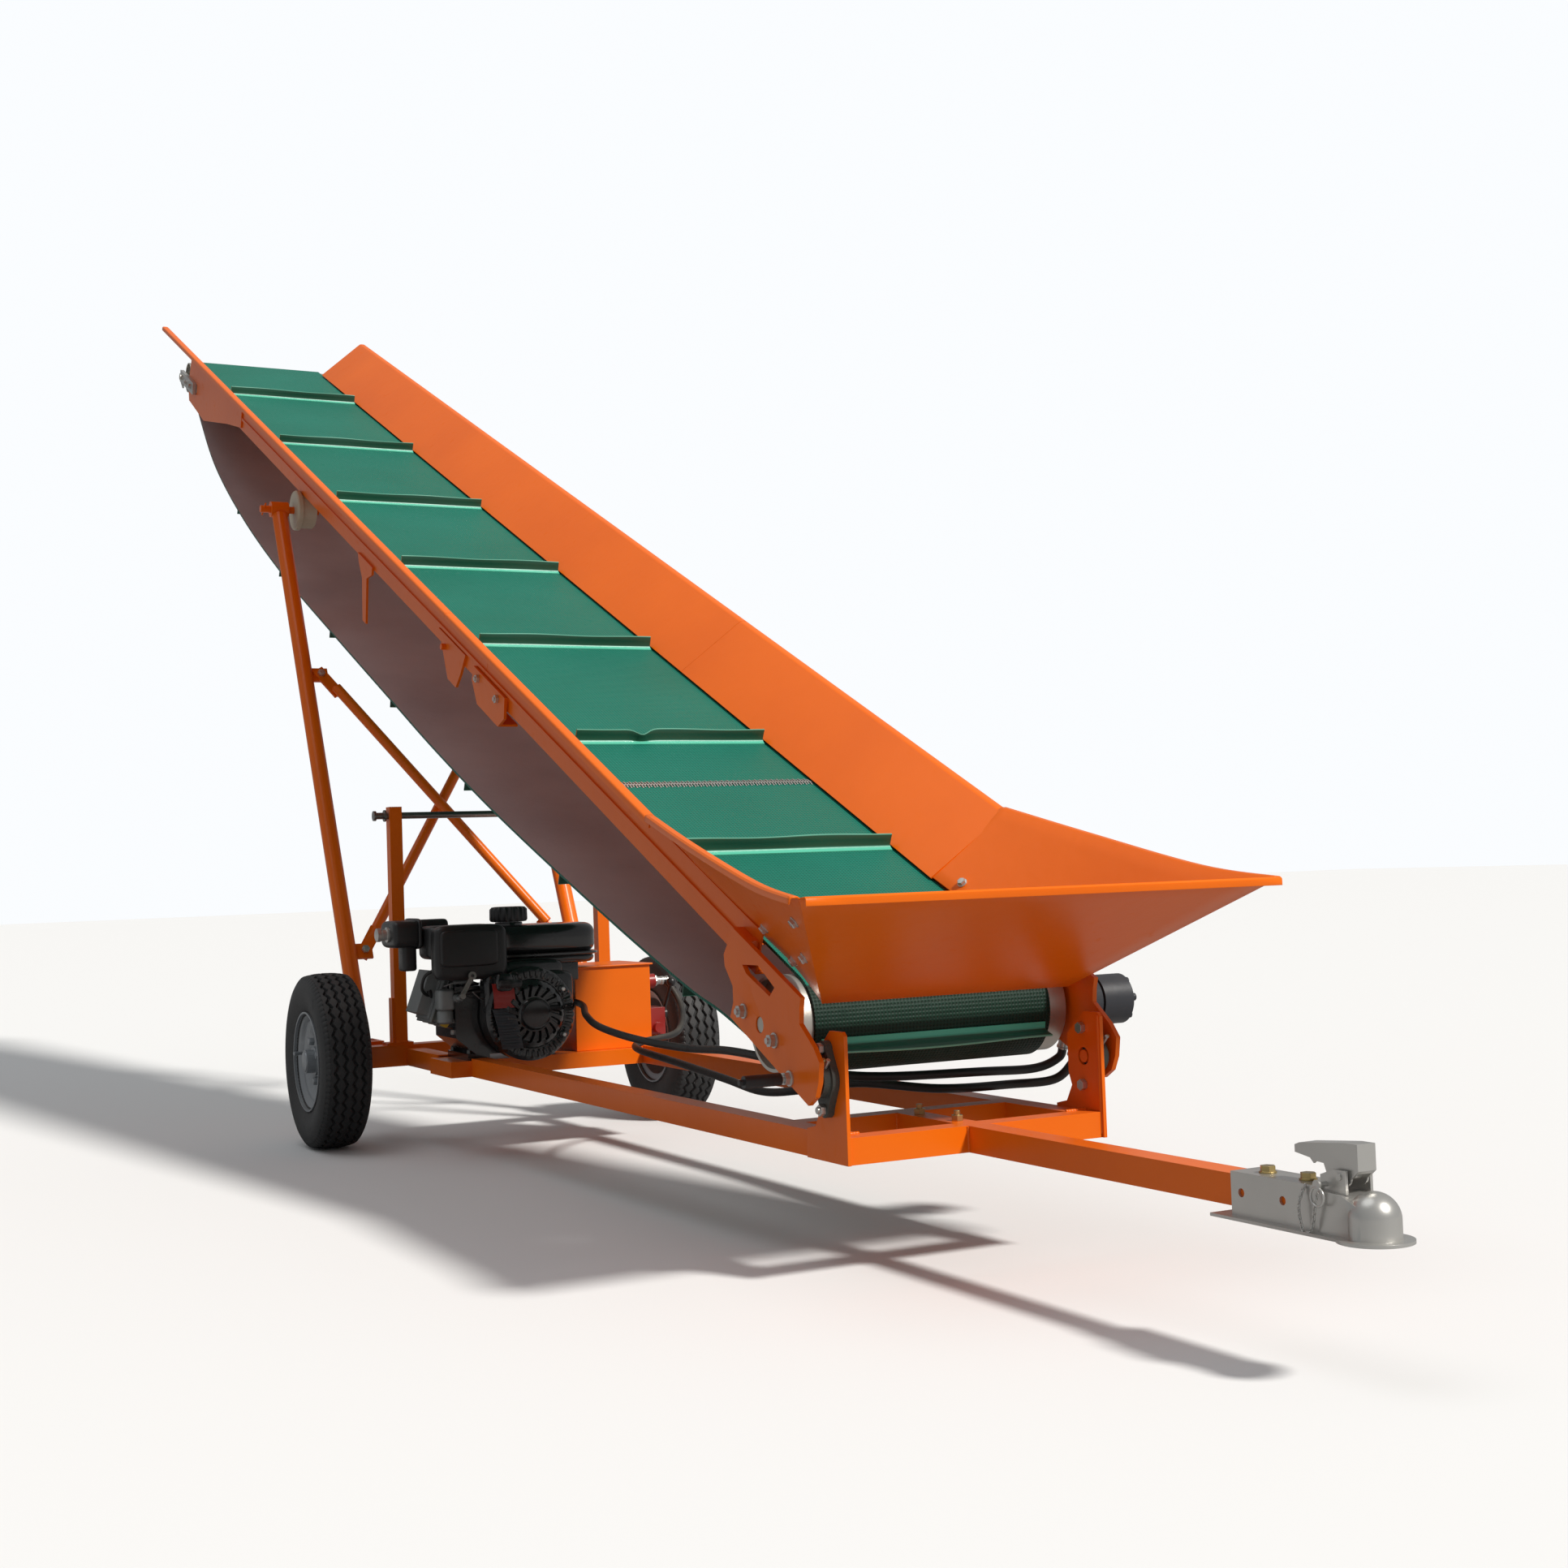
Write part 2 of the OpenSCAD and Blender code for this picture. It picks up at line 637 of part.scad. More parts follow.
module head_plates() color(orange) conveyor() both_sides() {
    difference() {
        side_plate(rail_x, rail_x + 5, [[4080, -30], [4280, -62], [4640, -132], [4900, -118],
            [4930, -70], [4900, 28], [4760, 36], [4080, 36]]);
        box(rail_x - 1, rail_x + 6, 4780, 4960, head_n - 16, head_n + 16);
    }
}

module head_takeups() color(steel) conveyor() both_sides() {
    difference() {
        box(rail_x + 5, rail_x + 17, 4790, 5020, head_n - 20, head_n + 20);
        rod_x(rail_x, rail_x + 20, head_s, head_n, 20.1);
        for (s = [4830, 4900]) rod_x(rail_x, rail_x + 20, s, head_n, 10);
    }
    for (s = [4830, 4900]) {
        rod_x(rail_x + 5, rail_x + 26, s, head_n, 9.9);
        hex_x(rail_x + 17, rail_x + 24, s, head_n, 16);
    }
    translate([rail_x + 11, 5020, head_n - 8]) rotate([-70, 0, 0]) cylinder(h = 26, d = 8);
    translate([rail_x + 11, 5040, head_n - 14]) rotate([110, 0, 0]) cylinder(h = 60, d = 7);
}

// open steel tube with a pierced disc near each end, on a through shaft
module roll(reach, s, n, r, w) {
    difference() {
        rod_x(-reach, reach, s, n, r * 2);
        rod_x(-reach - 1, reach + 1, s, n, (r - w) * 2);
    }
    for (x = [-reach + 12, reach - 18]) difference() {
        rod_x(x, x + 6, s, n, (r - w) * 2 + 2);
        for (a = [0:90:270]) rod_x(x - 1, x + 7, s + r * 0.5 * cos(a), n + r * 0.5 * sin(a), 12);
    }
}

module head_roller() color([0.72, 0.7, 0.64]) conveyor() {
    roll(240, head_s, head_n, head_r, 4);
    rod_x(-rail_x - 24, rail_x + 24, head_s, head_n, 20);
}

module tail_drum() color([0.72, 0.72, 0.7]) conveyor() {
    roll(250, tail_s, tail_n, drum_r, 6);
    rod_x(-arm_x - 6, arm_x + 30, tail_s, tail_n, 25);
}

module hydraulic_motor() color(black) conveyor() {
    difference() {
        union() {
            box(arm_x + arm_t, arm_x + arm_t + 12, tail_s - 40, tail_s + 40, tail_n - 40,
                tail_n + 40);
            rod_x(arm_x + arm_t + 12, 350, tail_s, tail_n, 82);
            rod_x(350, 354, tail_s, tail_n, 74);
            rod_x(354, 412, tail_s, tail_n, 84);
            for (a = [30:60:330]) rod_x(412, 420, tail_s + 32 * cos(a), tail_n + 32 * sin(a), 13);
        }
        rod_x(arm_x + arm_t - 1, arm_x + 34, tail_s, tail_n, 25.1);
    }
    for (s = [-16, 16]) translate([330, tail_s + s, tail_n - 62]) cylinder(h = 30, d = 22);
}

// ---------- belt ----------

// return strand, upper face: [along the belt, height], touching the drum and roller tangents
sag = [[168, -155.5], [395, -177], [545, -201], [915, -241], [1520, -292], [1990, -316],
    [2405, -326], [2945, -338], [3545, -346], [4100, -326], [4560, -270], [4850, -178],
    [5010, -104]];

module belt() color([0.22, 0.5, 0.42]) conveyor() {
    box(-belt_w / 2, belt_w / 2, tail_s, head_s, -belt_t, 0);
    wrap(tail_s, tail_n, drum_r, 90, 264.6);
    wrap(head_s, head_n, head_r, -67, 90);
    translate([-belt_w / 2, 0, 0]) rotate([90, 0, 90]) linear_extrude(belt_w)
        polygon(concat(sag, [for (i = [len(sag) - 1:-1:0]) [sag[i][0], sag[i][1] - belt_t]]));
}

// part turn of belt round a drum, between two angles
module wrap(s, n, r, from, to) {
    translate([0, s, n]) rotate([90, 0, 90]) rotate([0, 0, from]) rotate_extrude(angle = to - from)
        translate([r + wrap_gap, -belt_w / 2]) square([belt_t, belt_w]);
}

module cleats() color([0.12, 0.38, 0.3]) conveyor() {
    for (s = top_cleats) {
        side_plate(-205, 205, [[s - 10, 0], [s - 2, 5], [s - 2, cleat_h], [s + 2, cleat_h],
            [s + 2, 5], [s + 10, 0]]);
    }
    for (i = [0:6]) {
        s = 578 + i * cleat_pitch;
        slope = atan2(lookup(s + 40, sag) - lookup(s - 40, sag), 80);
        translate([-205, s, lookup(s, sag) - belt_t]) rotate([slope, 0, 0])
            box(0, 410, -2, 2, -cleat_h, -0.1);
    }
    front = tail_s - drum_r - wrap_gap - belt_t;
    box(-205, 205, front - cleat_h, front - 0.1, tail_n - 2, tail_n + 2);
}

module belt_lacing() color([0.75, 0.76, 0.75]) conveyor() {
    for (x = [-204:12:200]) box(x, x + 8, 958, 982, 0, 2);
}

// ---------- power pack ----------

module engine_block() color([0.16, 0.16, 0.17]) chassis() {
    both_feet();
    difference() {
        union() {
            box(-262, -15, 1708, 1852, 48, 200);
            rod_y(engine_x, 1852, 1872, crank_z, 110);
        }
        translate([-262, 1700, 48]) rotate([0, 40, 0]) box(-60, 40, 0, 160, -60, 30);
    }
    rod_y(engine_x, 1872, 1905, crank_z, 22);
    translate([-262, 1736, 120]) rotate([0, -65, 0]) translate([0, 0, -16])
        cylinder(h = 24, d = 26);
}

module both_feet() {
    for (x = [-232, -78]) box(x, x + 50, 1718, 1862, platform_z, 50);
    for (x = [-222, -48], y = [1732, 1848]) hex_z(x, y, 50, 58, 14);
}

module cylinder_head() color([0.5, 0.51, 0.5]) chassis() {
    difference() {
        translate([-225, 1758, 100]) rotate([0, 20, 0]) {
            box(-90, 0, 0, 92, 0, 110);
            for (x = [-84:14:-20]) box(x, x + 5, -6, 98, -6, 116);
            box(-118, -90, 6, 86, 6, 104);
        }
        box(-262, 100, 1700, 1900, 0, 200);
    }
}

module engine_shroud() color(black) chassis() {
    rod_y(engine_x, 1652, 1700, crank_z, 208);
    box(-318, -165.5, 1660, 1702, 218, 336);
    box(-209, -1, 1654, 1702, 150, 228);
    box(-318, -165, 1702, 1800, 268, 336);
    rod_y(-240, 1645, 1662, 226, 6);
}

module recoil_cover() color([0.14, 0.14, 0.15]) chassis() {
    difference() {
        union() {
            rod_y(engine_x, 1632, 1652, crank_z, 156);
            rod_y(engine_x, 1622, 1632, crank_z, 120);
        }
        for (a = [0:30:330]) translate([engine_x, 1600, crank_z]) rotate([0, a, 0])
            box(34, 54, 0, 40, -3, 3);
    }
    box(-190, -155, 1628, 1652, 190, 226);
}

module recoil_handle() color([0.08, 0.08, 0.09]) chassis() {
    rod_y(-172, 1604, 1616, 206, 14);
    rod_x(-196, -148, 1600, 206, 18);
    rod_y(-172, 1616, 1627, 206, 6);
}

module fuel_tank() color([0.07, 0.07, 0.08]) chassis() {
    difference() {
        union() {
            box(-150, 40, 1685, 1865, 240, 330);
            rod_y(-150, 1685, 1865, 285, 90);
            rod_y(40, 1685, 1865, 285, 90);
            translate([-117, 1752, 325]) cylinder(h = 12, d = 62);
        }
        box(-400, -164.5, 1600, 1900, 200, 400);
    }
    box(-140, 30, 1702, 1722, 200, 242);
    box(-140, 26, 1800, 1840, 200, 242);
}

module fuel_cap() color(black) chassis() {
    translate([-117, 1752, 338]) cylinder(h = 34, d = 82);
    for (a = [0:30:330]) translate([-117, 1752, 338]) rotate([0, 0, a])
        translate([40, 0, 0]) cylinder(h = 32, d = 8);
}

module oil_cap() color([0.85, 0.65, 0.12]) chassis() {
    translate([-262, 1736, 120]) rotate([0, -65, 0]) {
        translate([0, 0, 8.4]) cylinder(h = 16, d = 30);
        translate([0, 0, 24]) cylinder(h = 8, d = 22);
    }
}

module air_cleaner() color(black) chassis() {
    box(-385, -322, 1742, 1852, 288, 352);
    box(-322, -240, 1802, 1852, 288, 352);
    rod_x(-400, -385, 1790, 320, 34);
    rod_x(-414, -400, 1790, 320, 16);
    box(-360, -330, 1760, 1800, 236, 290);
}

module throttle_lever() color(steel) chassis() {
    translate([-240, 1652, 226]) {
        difference() {
            rotate([90, 0, 0]) cylinder(h = 4, d = 18);
            rotate([90, 0, 0]) translate([0, 0, -1]) cylinder(h = 6, d = 6.1);
        }
        rotate([0, 30, 0]) box(-5, 5, -4, 0, -52, -6);
        rotate([0, 30, 0]) translate([0, -12, -50]) rotate([-90, 0, 0]) cylinder(h = 12, d = 12);
    }
}

module hydraulic_pump() color([0.2, 0.2, 0.21]) chassis() {
    difference() {
        rod_y(engine_x, 1873, 1948, crank_z, 108);
        rod_y(engine_x, 1870, 1940, crank_z, 60);
    }
    box(engine_x - 45, engine_x + 45, 1948, 2030, crank_z - 48, crank_z + 48);
    rod_x(engine_x + 45, engine_x + 62, 1985, crank_z + 12, 26);
    rod_x(engine_x - 62, engine_x - 45, 1985, crank_z + 12, 26);
}

module oil_tank() color(orange) chassis() {
    difference() {
        union() {
            box(34, 221, 1740, 1930, platform_z, 225);
            box(28, 227, 1734, 1936, 224, 228);
        }
        box(37, 211, 1743, 1927, platform_z + 3, 221);
        box(214.9, 222, platform_end - 0.1, 1931, 30, tube + 0.1);
        translate([76, 1896, 218]) cylinder(h = 12, d = 30.1);
    }
    rod_x(221, 236, 1800, 182, 30);
}

module tank_breather() color([0.8, 0.8, 0.8]) chassis() {
    translate([76, 1896, 218]) cylinder(h = 14, d = 30);
    translate([76, 1896, 232]) cylinder(h = 12, d = 56);
    translate([76, 1896, 244]) cylinder(h = 26, d = 40);
    translate([76, 1896, 270]) cylinder(h = 12, d = 50);
}

module valve_block() color([0.45, 0.1, 0.08]) chassis() {
    difference() {
        box(221, 262, 1752, 1816, 60, 122);
        rod_x(221, 263, 1784, 106, 8.1);
    }
    translate([242, 1752, 76]) rotate([90, 0, 0]) cylinder(h = 14, d = 24);
    color(zinc) rod_x(236, 256, 1800, 182, 34);
}

module valve_lever() color(black) chassis() {
    rod_x(250, 278, 1784, 106, 8);
    rod_x(264, 278, 1784, 106, 20);
    translate([271, 1784, 106]) rotate([35, 0, 0]) {
        cylinder(h = 92, d = 8);
        translate([0, 0, 92]) sphere(d = 22);
    }
}

module pressure_hose() color(black) chassis() {
    hose([[-42, 1985, 147], [-30, 1985, 147], [-10, 1984, 147], [13, 1945, 145], [14, 1880, 150],
        [14, 1726, 152], [12, 1640, 146], [-36, 1500, 134], [-86, 1300, 123], [-90, 1100, 110],
        [-66, 920, 102], [-80, 700, 112], [-82, 480, 108], [-70, 330, 98], [0, 272, 92],
        [180, 272, 86], [285, 268, 84], [326, 254, 100], [330, 245.8, 119.5],
        [330, 239.5, 133.1], [330, 233.3, 146.7]], 20);
}

module return_hose() color(black) chassis() {
    hose([[257.2, 1800, 182], [265, 1800, 182], [273, 1800, 182], [290, 1790, 173],
        [298, 1740, 120], [250, 1660, 70], [120, 1560, 62], [40, 1400, 62], [20, 1150, 52], [5, 900, 40],
        [0, 731, 30], [5, 585, 44], [26, 420, 68], [120, 306, 60], [250, 290, 58],
        [312, 252, 64], [330, 224, 90], [330, 216.6, 107.5], [330, 210.3, 121.1],
        [330, 204.1, 134.7]], 20);
}

main_frame();
pivot_plates();
support_posts();
post_rod();
drawbar();
coupler_body();
coupler_bolts();
coupler_latch();
safety_pin();
pivot_bearings();
bearing_bolts();
oil_tank();
tank_breather();
valve_block();
valve_lever();
engine_block();
cylinder_head();
engine_shroud();
recoil_cover();
recoil_handle();
fuel_tank();
fuel_cap();
oil_cap();
air_cleaner();
throttle_lever();
hydraulic_pump();
pressure_hose();
return_hose();
tyre_left();
rim_left();
tyre_right();
rim_right();
leg_left();
leg_right();
cross_braces();
brace_bolts();
runner_left();
runner_right();
rails_lower();
rails_upper();
boards_lower();
boards_upper();
belt_bed();
splice_brackets();
rail_brackets();
tail_arms();
arm_bolts();
hopper_front();
hopper_sides();
hopper_bolts();
head_plates();
head_takeups();
hydraulic_motor();
belt();
cleats();
belt_lacing();
stop_peg();
tail_drum();
head_roller();
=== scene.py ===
"""Visual model of a towable belt conveyor: cleated belt, hopper, lift legs, chassis and engine."""
import json
import logging
import math
from dataclasses import dataclass
from enum import Enum
from typing import Iterable, Optional, Sequence

import bmesh
import bpy
import numpy as np
from mathutils import Matrix, Vector


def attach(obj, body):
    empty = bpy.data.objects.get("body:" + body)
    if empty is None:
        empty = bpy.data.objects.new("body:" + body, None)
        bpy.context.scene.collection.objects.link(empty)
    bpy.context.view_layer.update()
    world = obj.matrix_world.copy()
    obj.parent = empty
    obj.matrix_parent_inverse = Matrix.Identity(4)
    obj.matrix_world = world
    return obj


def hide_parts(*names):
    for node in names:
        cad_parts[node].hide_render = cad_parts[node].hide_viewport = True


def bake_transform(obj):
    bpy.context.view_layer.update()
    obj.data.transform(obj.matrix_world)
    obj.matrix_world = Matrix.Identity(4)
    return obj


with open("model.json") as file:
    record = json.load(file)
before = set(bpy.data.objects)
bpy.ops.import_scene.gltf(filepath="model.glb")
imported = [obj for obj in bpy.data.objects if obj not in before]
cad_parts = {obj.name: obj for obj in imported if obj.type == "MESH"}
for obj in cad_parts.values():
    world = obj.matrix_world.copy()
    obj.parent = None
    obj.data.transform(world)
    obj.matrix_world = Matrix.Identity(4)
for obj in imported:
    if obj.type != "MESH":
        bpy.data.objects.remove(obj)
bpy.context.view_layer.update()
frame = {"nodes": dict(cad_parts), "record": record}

LOG = logging.getLogger("conveyor")
Array = np.ndarray
MM = 0.001
INCLINE = math.radians(24.6)
CHASSIS_ORIGIN = np.array([0.0, -1.868, 0.180])
BELT_ORIGIN = np.array([0.0, -1.868, 0.3784])


def on_chassis(points: Sequence) -> Array:
    """Millimetres from the front cross member, turned into metres in the shared frame."""
    return np.asarray(points, float) * MM + CHASSIS_ORIGIN


def on_belt(points: Sequence) -> Array:
    """Across, along and above the belt in millimetres, turned into metres in the shared frame.

    The point is rotated about X by the incline and moved to the start of the belt line.
    """
    p = np.asarray(points, float) * MM
    c, s = math.cos(INCLINE), math.sin(INCLINE)
    turned = [p[..., 0], p[..., 1] * c - p[..., 2] * s, p[..., 1] * s + p[..., 2] * c]
    return np.stack(turned, axis=-1) + BELT_ORIGIN


# ---------------------------------------------------------------- mesh making


def grid_faces(rows: int, cols: int, loop_rows: bool = False, loop_cols: bool = False) -> Array:
    """Quads that join neighbours on a grid of rows and columns, closed where asked."""
    i = np.arange(rows if loop_rows else rows - 1)[:, None]
    j = np.arange(cols if loop_cols else cols - 1)[None, :]
    i2, j2 = (i + 1) % rows, (j + 1) % cols
    quads = [i * cols + j, i * cols + j2, i2 * cols + j2, i2 * cols + j]
    return np.stack(np.broadcast_arrays(*quads), axis=-1).reshape(-1, 4)


def new_object(name: str, points: Array, faces: Iterable, sharp: float = 35.0) -> bpy.types.Object:
    """Makes a mesh object with outward faces, smooth but for edges over an angle.

    Args:
        name: the piece's name.
        points: vertex positions in metres.
        faces: vertex numbers of each face.
        sharp: edges that turn more than this many degrees stay crisp.

    Returns:
        The object, linked to the scene.
    """
    mesh = bpy.data.meshes.new(name)
    mesh.from_pydata(np.asarray(points, float).reshape(-1, 3).tolist(), [], [list(f) for f in faces])
    tidy_normals(mesh)
    mesh.polygons.foreach_set("use_smooth", np.ones(len(mesh.polygons), bool))
    mesh.set_sharp_from_angle(angle=math.radians(sharp))
    obj = bpy.data.objects.new(name, mesh)
    bpy.context.scene.collection.objects.link(obj)
    return obj


def tidy_normals(mesh: bpy.types.Mesh) -> None:
    """Turns the faces of each closed shell outwards."""
    bm = bmesh.new()
    bm.from_mesh(mesh)
    bmesh.ops.recalc_face_normals(bm, faces=bm.faces[:])
    bm.to_mesh(mesh)
    bm.free()


def gather(parts: Sequence[tuple[Array, list]]) -> tuple[Array, list]:
    """Joins several lists of points and faces into one."""
    points, faces, start = [], [], 0
    for p, f in parts:
        flat = np.asarray(p, float).reshape(-1, 3)
        points.append(flat)
        faces += [[int(k) + start for k in face] for face in f]
        start += len(flat)
    return np.concatenate(points), faces


def rings(points: Array, closed_ends: bool = True) -> tuple[Array, list]:
    """A tube of rings of equal count, with a face over each end where asked."""
    n, m = points.shape[:2]
    faces = grid_faces(n, m, False, True).tolist()
    if closed_ends:
        faces += [list(range(m))[::-1], [(n - 1) * m + k for k in range(m)]]
    return points.reshape(-1, 3), faces


def smooth_path(points: Sequence, steps: int = 8) -> Array:
    """A Catmull-Rom curve: each stretch is the cubic through its ends with chord tangents."""
    p = np.asarray(points, float)
    padded = np.concatenate([p[:1], p, p[-1:]])
    a, b, c, d = padded[:-3, None], padded[1:-2, None], padded[2:-1, None], padded[3:, None]
    t = np.linspace(0, 1, steps, endpoint=False)[None, :, None]
    cubic = b + t / 2 * (c - a) + t**2 * (a - 2.5 * b + 2 * c - d / 2)
    cubic = cubic + t**3 / 2 * (3 * b - a - 3 * c + d)
    return np.concatenate([cubic.reshape(-1, p.shape[1]), p[-1:]])


def tube(path: Array, radius: float | Array, sides: int = 20) -> tuple[Array, list]:
    """A round tube: each ring is the radius times cosine and sine along two normals of the path.

    Args:
        path: points along the middle, in metres.
        radius: one radius, or one for each point.
        sides: points round the tube.
    """
    tangent = np.gradient(path, axis=0)
    tangent /= np.linalg.norm(tangent, axis=1, keepdims=True)
    spin = np.zeros_like(tangent)
    u = np.cross(tangent[0], [0.13, 0.31, 0.94])
    for k, t in enumerate(tangent):
        u = u - t * np.dot(u, t)
        u /= np.linalg.norm(u)
        spin[k] = u
    other = np.cross(tangent, spin)
    a = np.linspace(0, 2 * np.pi, sides, endpoint=False)
    r = np.broadcast_to(np.asarray(radius, float), (len(path),))[:, None, None]
    circle = np.cos(a)[None, :, None] * spin[:, None] + np.sin(a)[None, :, None] * other[:, None]
    return rings(path[:, None] + r * circle)


def lathe(profile: Sequence, centre: Array, axis: Sequence, sides: int = 48) -> tuple[Array, list]:
    """A turned part: profile of (distance along the axis, radius) in mm, swept round the axis."""
    w = np.asarray(axis, float)
    w /= np.linalg.norm(w)
    u = np.cross(w, [0.0, 0.0, 1.0] if abs(w[2]) < 0.9 else [1.0, 0.0, 0.0])
    u /= np.linalg.norm(u)
    v = np.cross(w, u)
    pr = np.asarray(profile, float) * MM
    a = np.linspace(0, 2 * np.pi, sides, endpoint=False)
    circle = np.cos(a)[:, None] * u + np.sin(a)[:, None] * v
    grid = centre + pr[:, 0, None, None] * w + pr[:, 1, None, None] * circle[None]
    return rings(grid)


def loft(levels: Sequence, power: float, axis: int = 2, sides: int = 56) -> tuple[Array, list]:
    """A moulded body: rounded rectangles stacked along an axis.

    Each outline is the superellipse |x/a|^p + |y/b|^p = 1.

    Args:
        levels: rows of (position, centre 1, centre 2, half width 1, half width 2) in mm.
        power: how square the outline is; 2 is an ellipse.
        axis: which axis the positions run along, 0, 1 or 2.
        sides: points round each outline.
    """
    rows = np.asarray(levels, float)
    a = np.linspace(0, 2 * np.pi, sides, endpoint=False)
    x = np.sign(np.cos(a)) * np.abs(np.cos(a)) ** (2 / power)
    y = np.sign(np.sin(a)) * np.abs(np.sin(a)) ** (2 / power)
    first = rows[:, 1, None] + rows[:, 3, None] * x
    second = rows[:, 2, None] + rows[:, 4, None] * y
    along = np.broadcast_to(rows[:, 0, None], first.shape)
    order = {0: (along, first, second), 1: (first, along, second), 2: (first, second, along)}
    return rings(on_chassis(np.stack(order[axis], axis=-1)))


def cushion(lo: Sequence, hi: Sequence, round_mm: float, power: float = 5.0, axis: int = 2,
            steps: int = 6) -> tuple[Array, list]:
    """A box with rounded edges: a loft whose ends shrink along a quarter circle.

    Args:
        lo: lowest corner in mm on the chassis.
        hi: highest corner in mm on the chassis.
        round_mm: radius of the edges round both ends.
        power: squareness of the outline.
        axis: the loft's axis.
        steps: rows in each rounded end.
    """
    lo, hi = np.asarray(lo, float), np.asarray(hi, float)
    others = [k for k in range(3) if k != axis]
    mid, half = (lo + hi) / 2, (hi - lo) / 2
    t = np.linspace(0, np.pi / 2, steps)
    inset = round_mm * (1 - np.sin(t))
    pos = np.concatenate([
        lo[axis] + round_mm * (1 - np.cos(t)),
        (hi[axis] - round_mm * (1 - np.cos(t)))[::-1],
    ])
    cut = np.concatenate([inset, inset[::-1]])
    rows = [[p, mid[others[0]], mid[others[1]], half[others[0]] - c, half[others[1]] - c]
            for p, c in zip(pos, cut)]
    return loft(rows, power, axis)


def sheet_section(path: Sequence, thick: float) -> Array:
    """Outline of folded sheet: the path moved half a thickness to each side along its mitres."""
    p = np.asarray(path, float)
    step = np.diff(p, axis=0)
    step /= np.linalg.norm(step, axis=1, keepdims=True)
    normal = np.stack([-step[:, 1], step[:, 0]], axis=1)
    mitre = np.concatenate([normal[:1], normal[:-1] + normal[1:], normal[-1:]])
    mitre /= np.linalg.norm(mitre, axis=1, keepdims=True)
    own = np.concatenate([normal[:1], normal])
    stretch = 1 / np.maximum(0.5, np.sum(mitre * own, axis=1, keepdims=True))
    shift = mitre * stretch * thick / 2
    return np.concatenate([p + shift, (p - shift)[::-1]])


def bent(path: Sequence, radius: float, steps: int = 4) -> Array:
    """A polyline whose inner corners are rounded by quadratic curves of about this radius."""
    p = np.asarray(path, float)
    out = [p[:1]]
    for before, corner, after in zip(p[:-2], p[1:-1], p[2:]):
        a = corner + (before - corner) / np.linalg.norm(before - corner) * radius
        b = corner + (after - corner) / np.linalg.norm(after - corner) * radius
        t = np.linspace(0, 1, steps)[:, None]
        out.append((1 - t) ** 2 * a + 2 * t * (1 - t) * corner + t**2 * b)
    return np.concatenate(out + [p[-1:]])


def mirrored(part: tuple[Array, list]) -> tuple[Array, list]:
    """The same part on the other side of the centre line."""
    points, faces = part
    return points * np.array([-1.0, 1.0, 1.0]), [list(f)[::-1] for f in faces]


def hexagon_head(centre: Array, axis: Sequence, across: float, height: float) -> tuple[Array, list]:
    """A bolt head: six sides with a chamfered, slightly domed top."""
    r = across / math.sqrt(3)
    profile = [(0, r), (height * 0.8, r), (height, r * 0.84), (height * 1.02, r * 0.3)]
    return lathe(profile, centre, axis, sides=6)


# ---------------------------------------------------------------- shader groups


def group_shell(name: str, inputs: dict, outputs: dict) -> bpy.types.NodeTree:
    """An empty shader group with these named inputs and outputs."""
    tree = bpy.data.node_groups.new(name, "ShaderNodeTree")
    for key, (kind, value) in inputs.items():
        socket = tree.interface.new_socket(name=key, in_out="INPUT", socket_type=kind)
        if value is not None:
            socket.default_value = value
    for key, kind in outputs.items():
        tree.interface.new_socket(name=key, in_out="OUTPUT", socket_type=kind)
    return tree


def math_node(tree: bpy.types.NodeTree, kind: str, a, b=None) -> bpy.types.NodeSocket:
    """A math node's output; a and b are numbers or sockets."""
    node = tree.nodes.new("ShaderNodeMath")
    node.operation = kind
    for slot, value in zip(node.inputs, (a, b)):
        if isinstance(value, bpy.types.NodeSocket):
            tree.links.new(value, slot)
        elif value is not None:
            slot.default_value = value
    return node.outputs[0]


def remap(tree: bpy.types.NodeTree, value, lo: float, hi: float, out_lo=0.0, out_hi=1.0):
    """A value moved from one range to another and clamped."""
    node = tree.nodes.new("ShaderNodeMapRange")
    tree.links.new(value, node.inputs["Value"])
    for key, number in (("From Min", lo), ("From Max", hi)):
        node.inputs[key].default_value = number
    for key, number in (("To Min", out_lo), ("To Max", out_hi)):
        if isinstance(number, bpy.types.NodeSocket):
            tree.links.new(number, node.inputs[key])
        else:
            node.inputs[key].default_value = number
    return node.outputs[0]


def noise(tree: bpy.types.NodeTree, where, scale, detail: float = 3.0) -> bpy.types.NodeSocket:
    """A noise texture's value at these coordinates."""
    node = tree.nodes.new("ShaderNodeTexNoise")
    node.inputs["Detail"].default_value = detail
    tree.links.new(where, node.inputs["Vector"])
    if isinstance(scale, bpy.types.NodeSocket):
        tree.links.new(scale, node.inputs["Scale"])
    else:
        node.inputs["Scale"].default_value = scale
    return node.outputs[0]


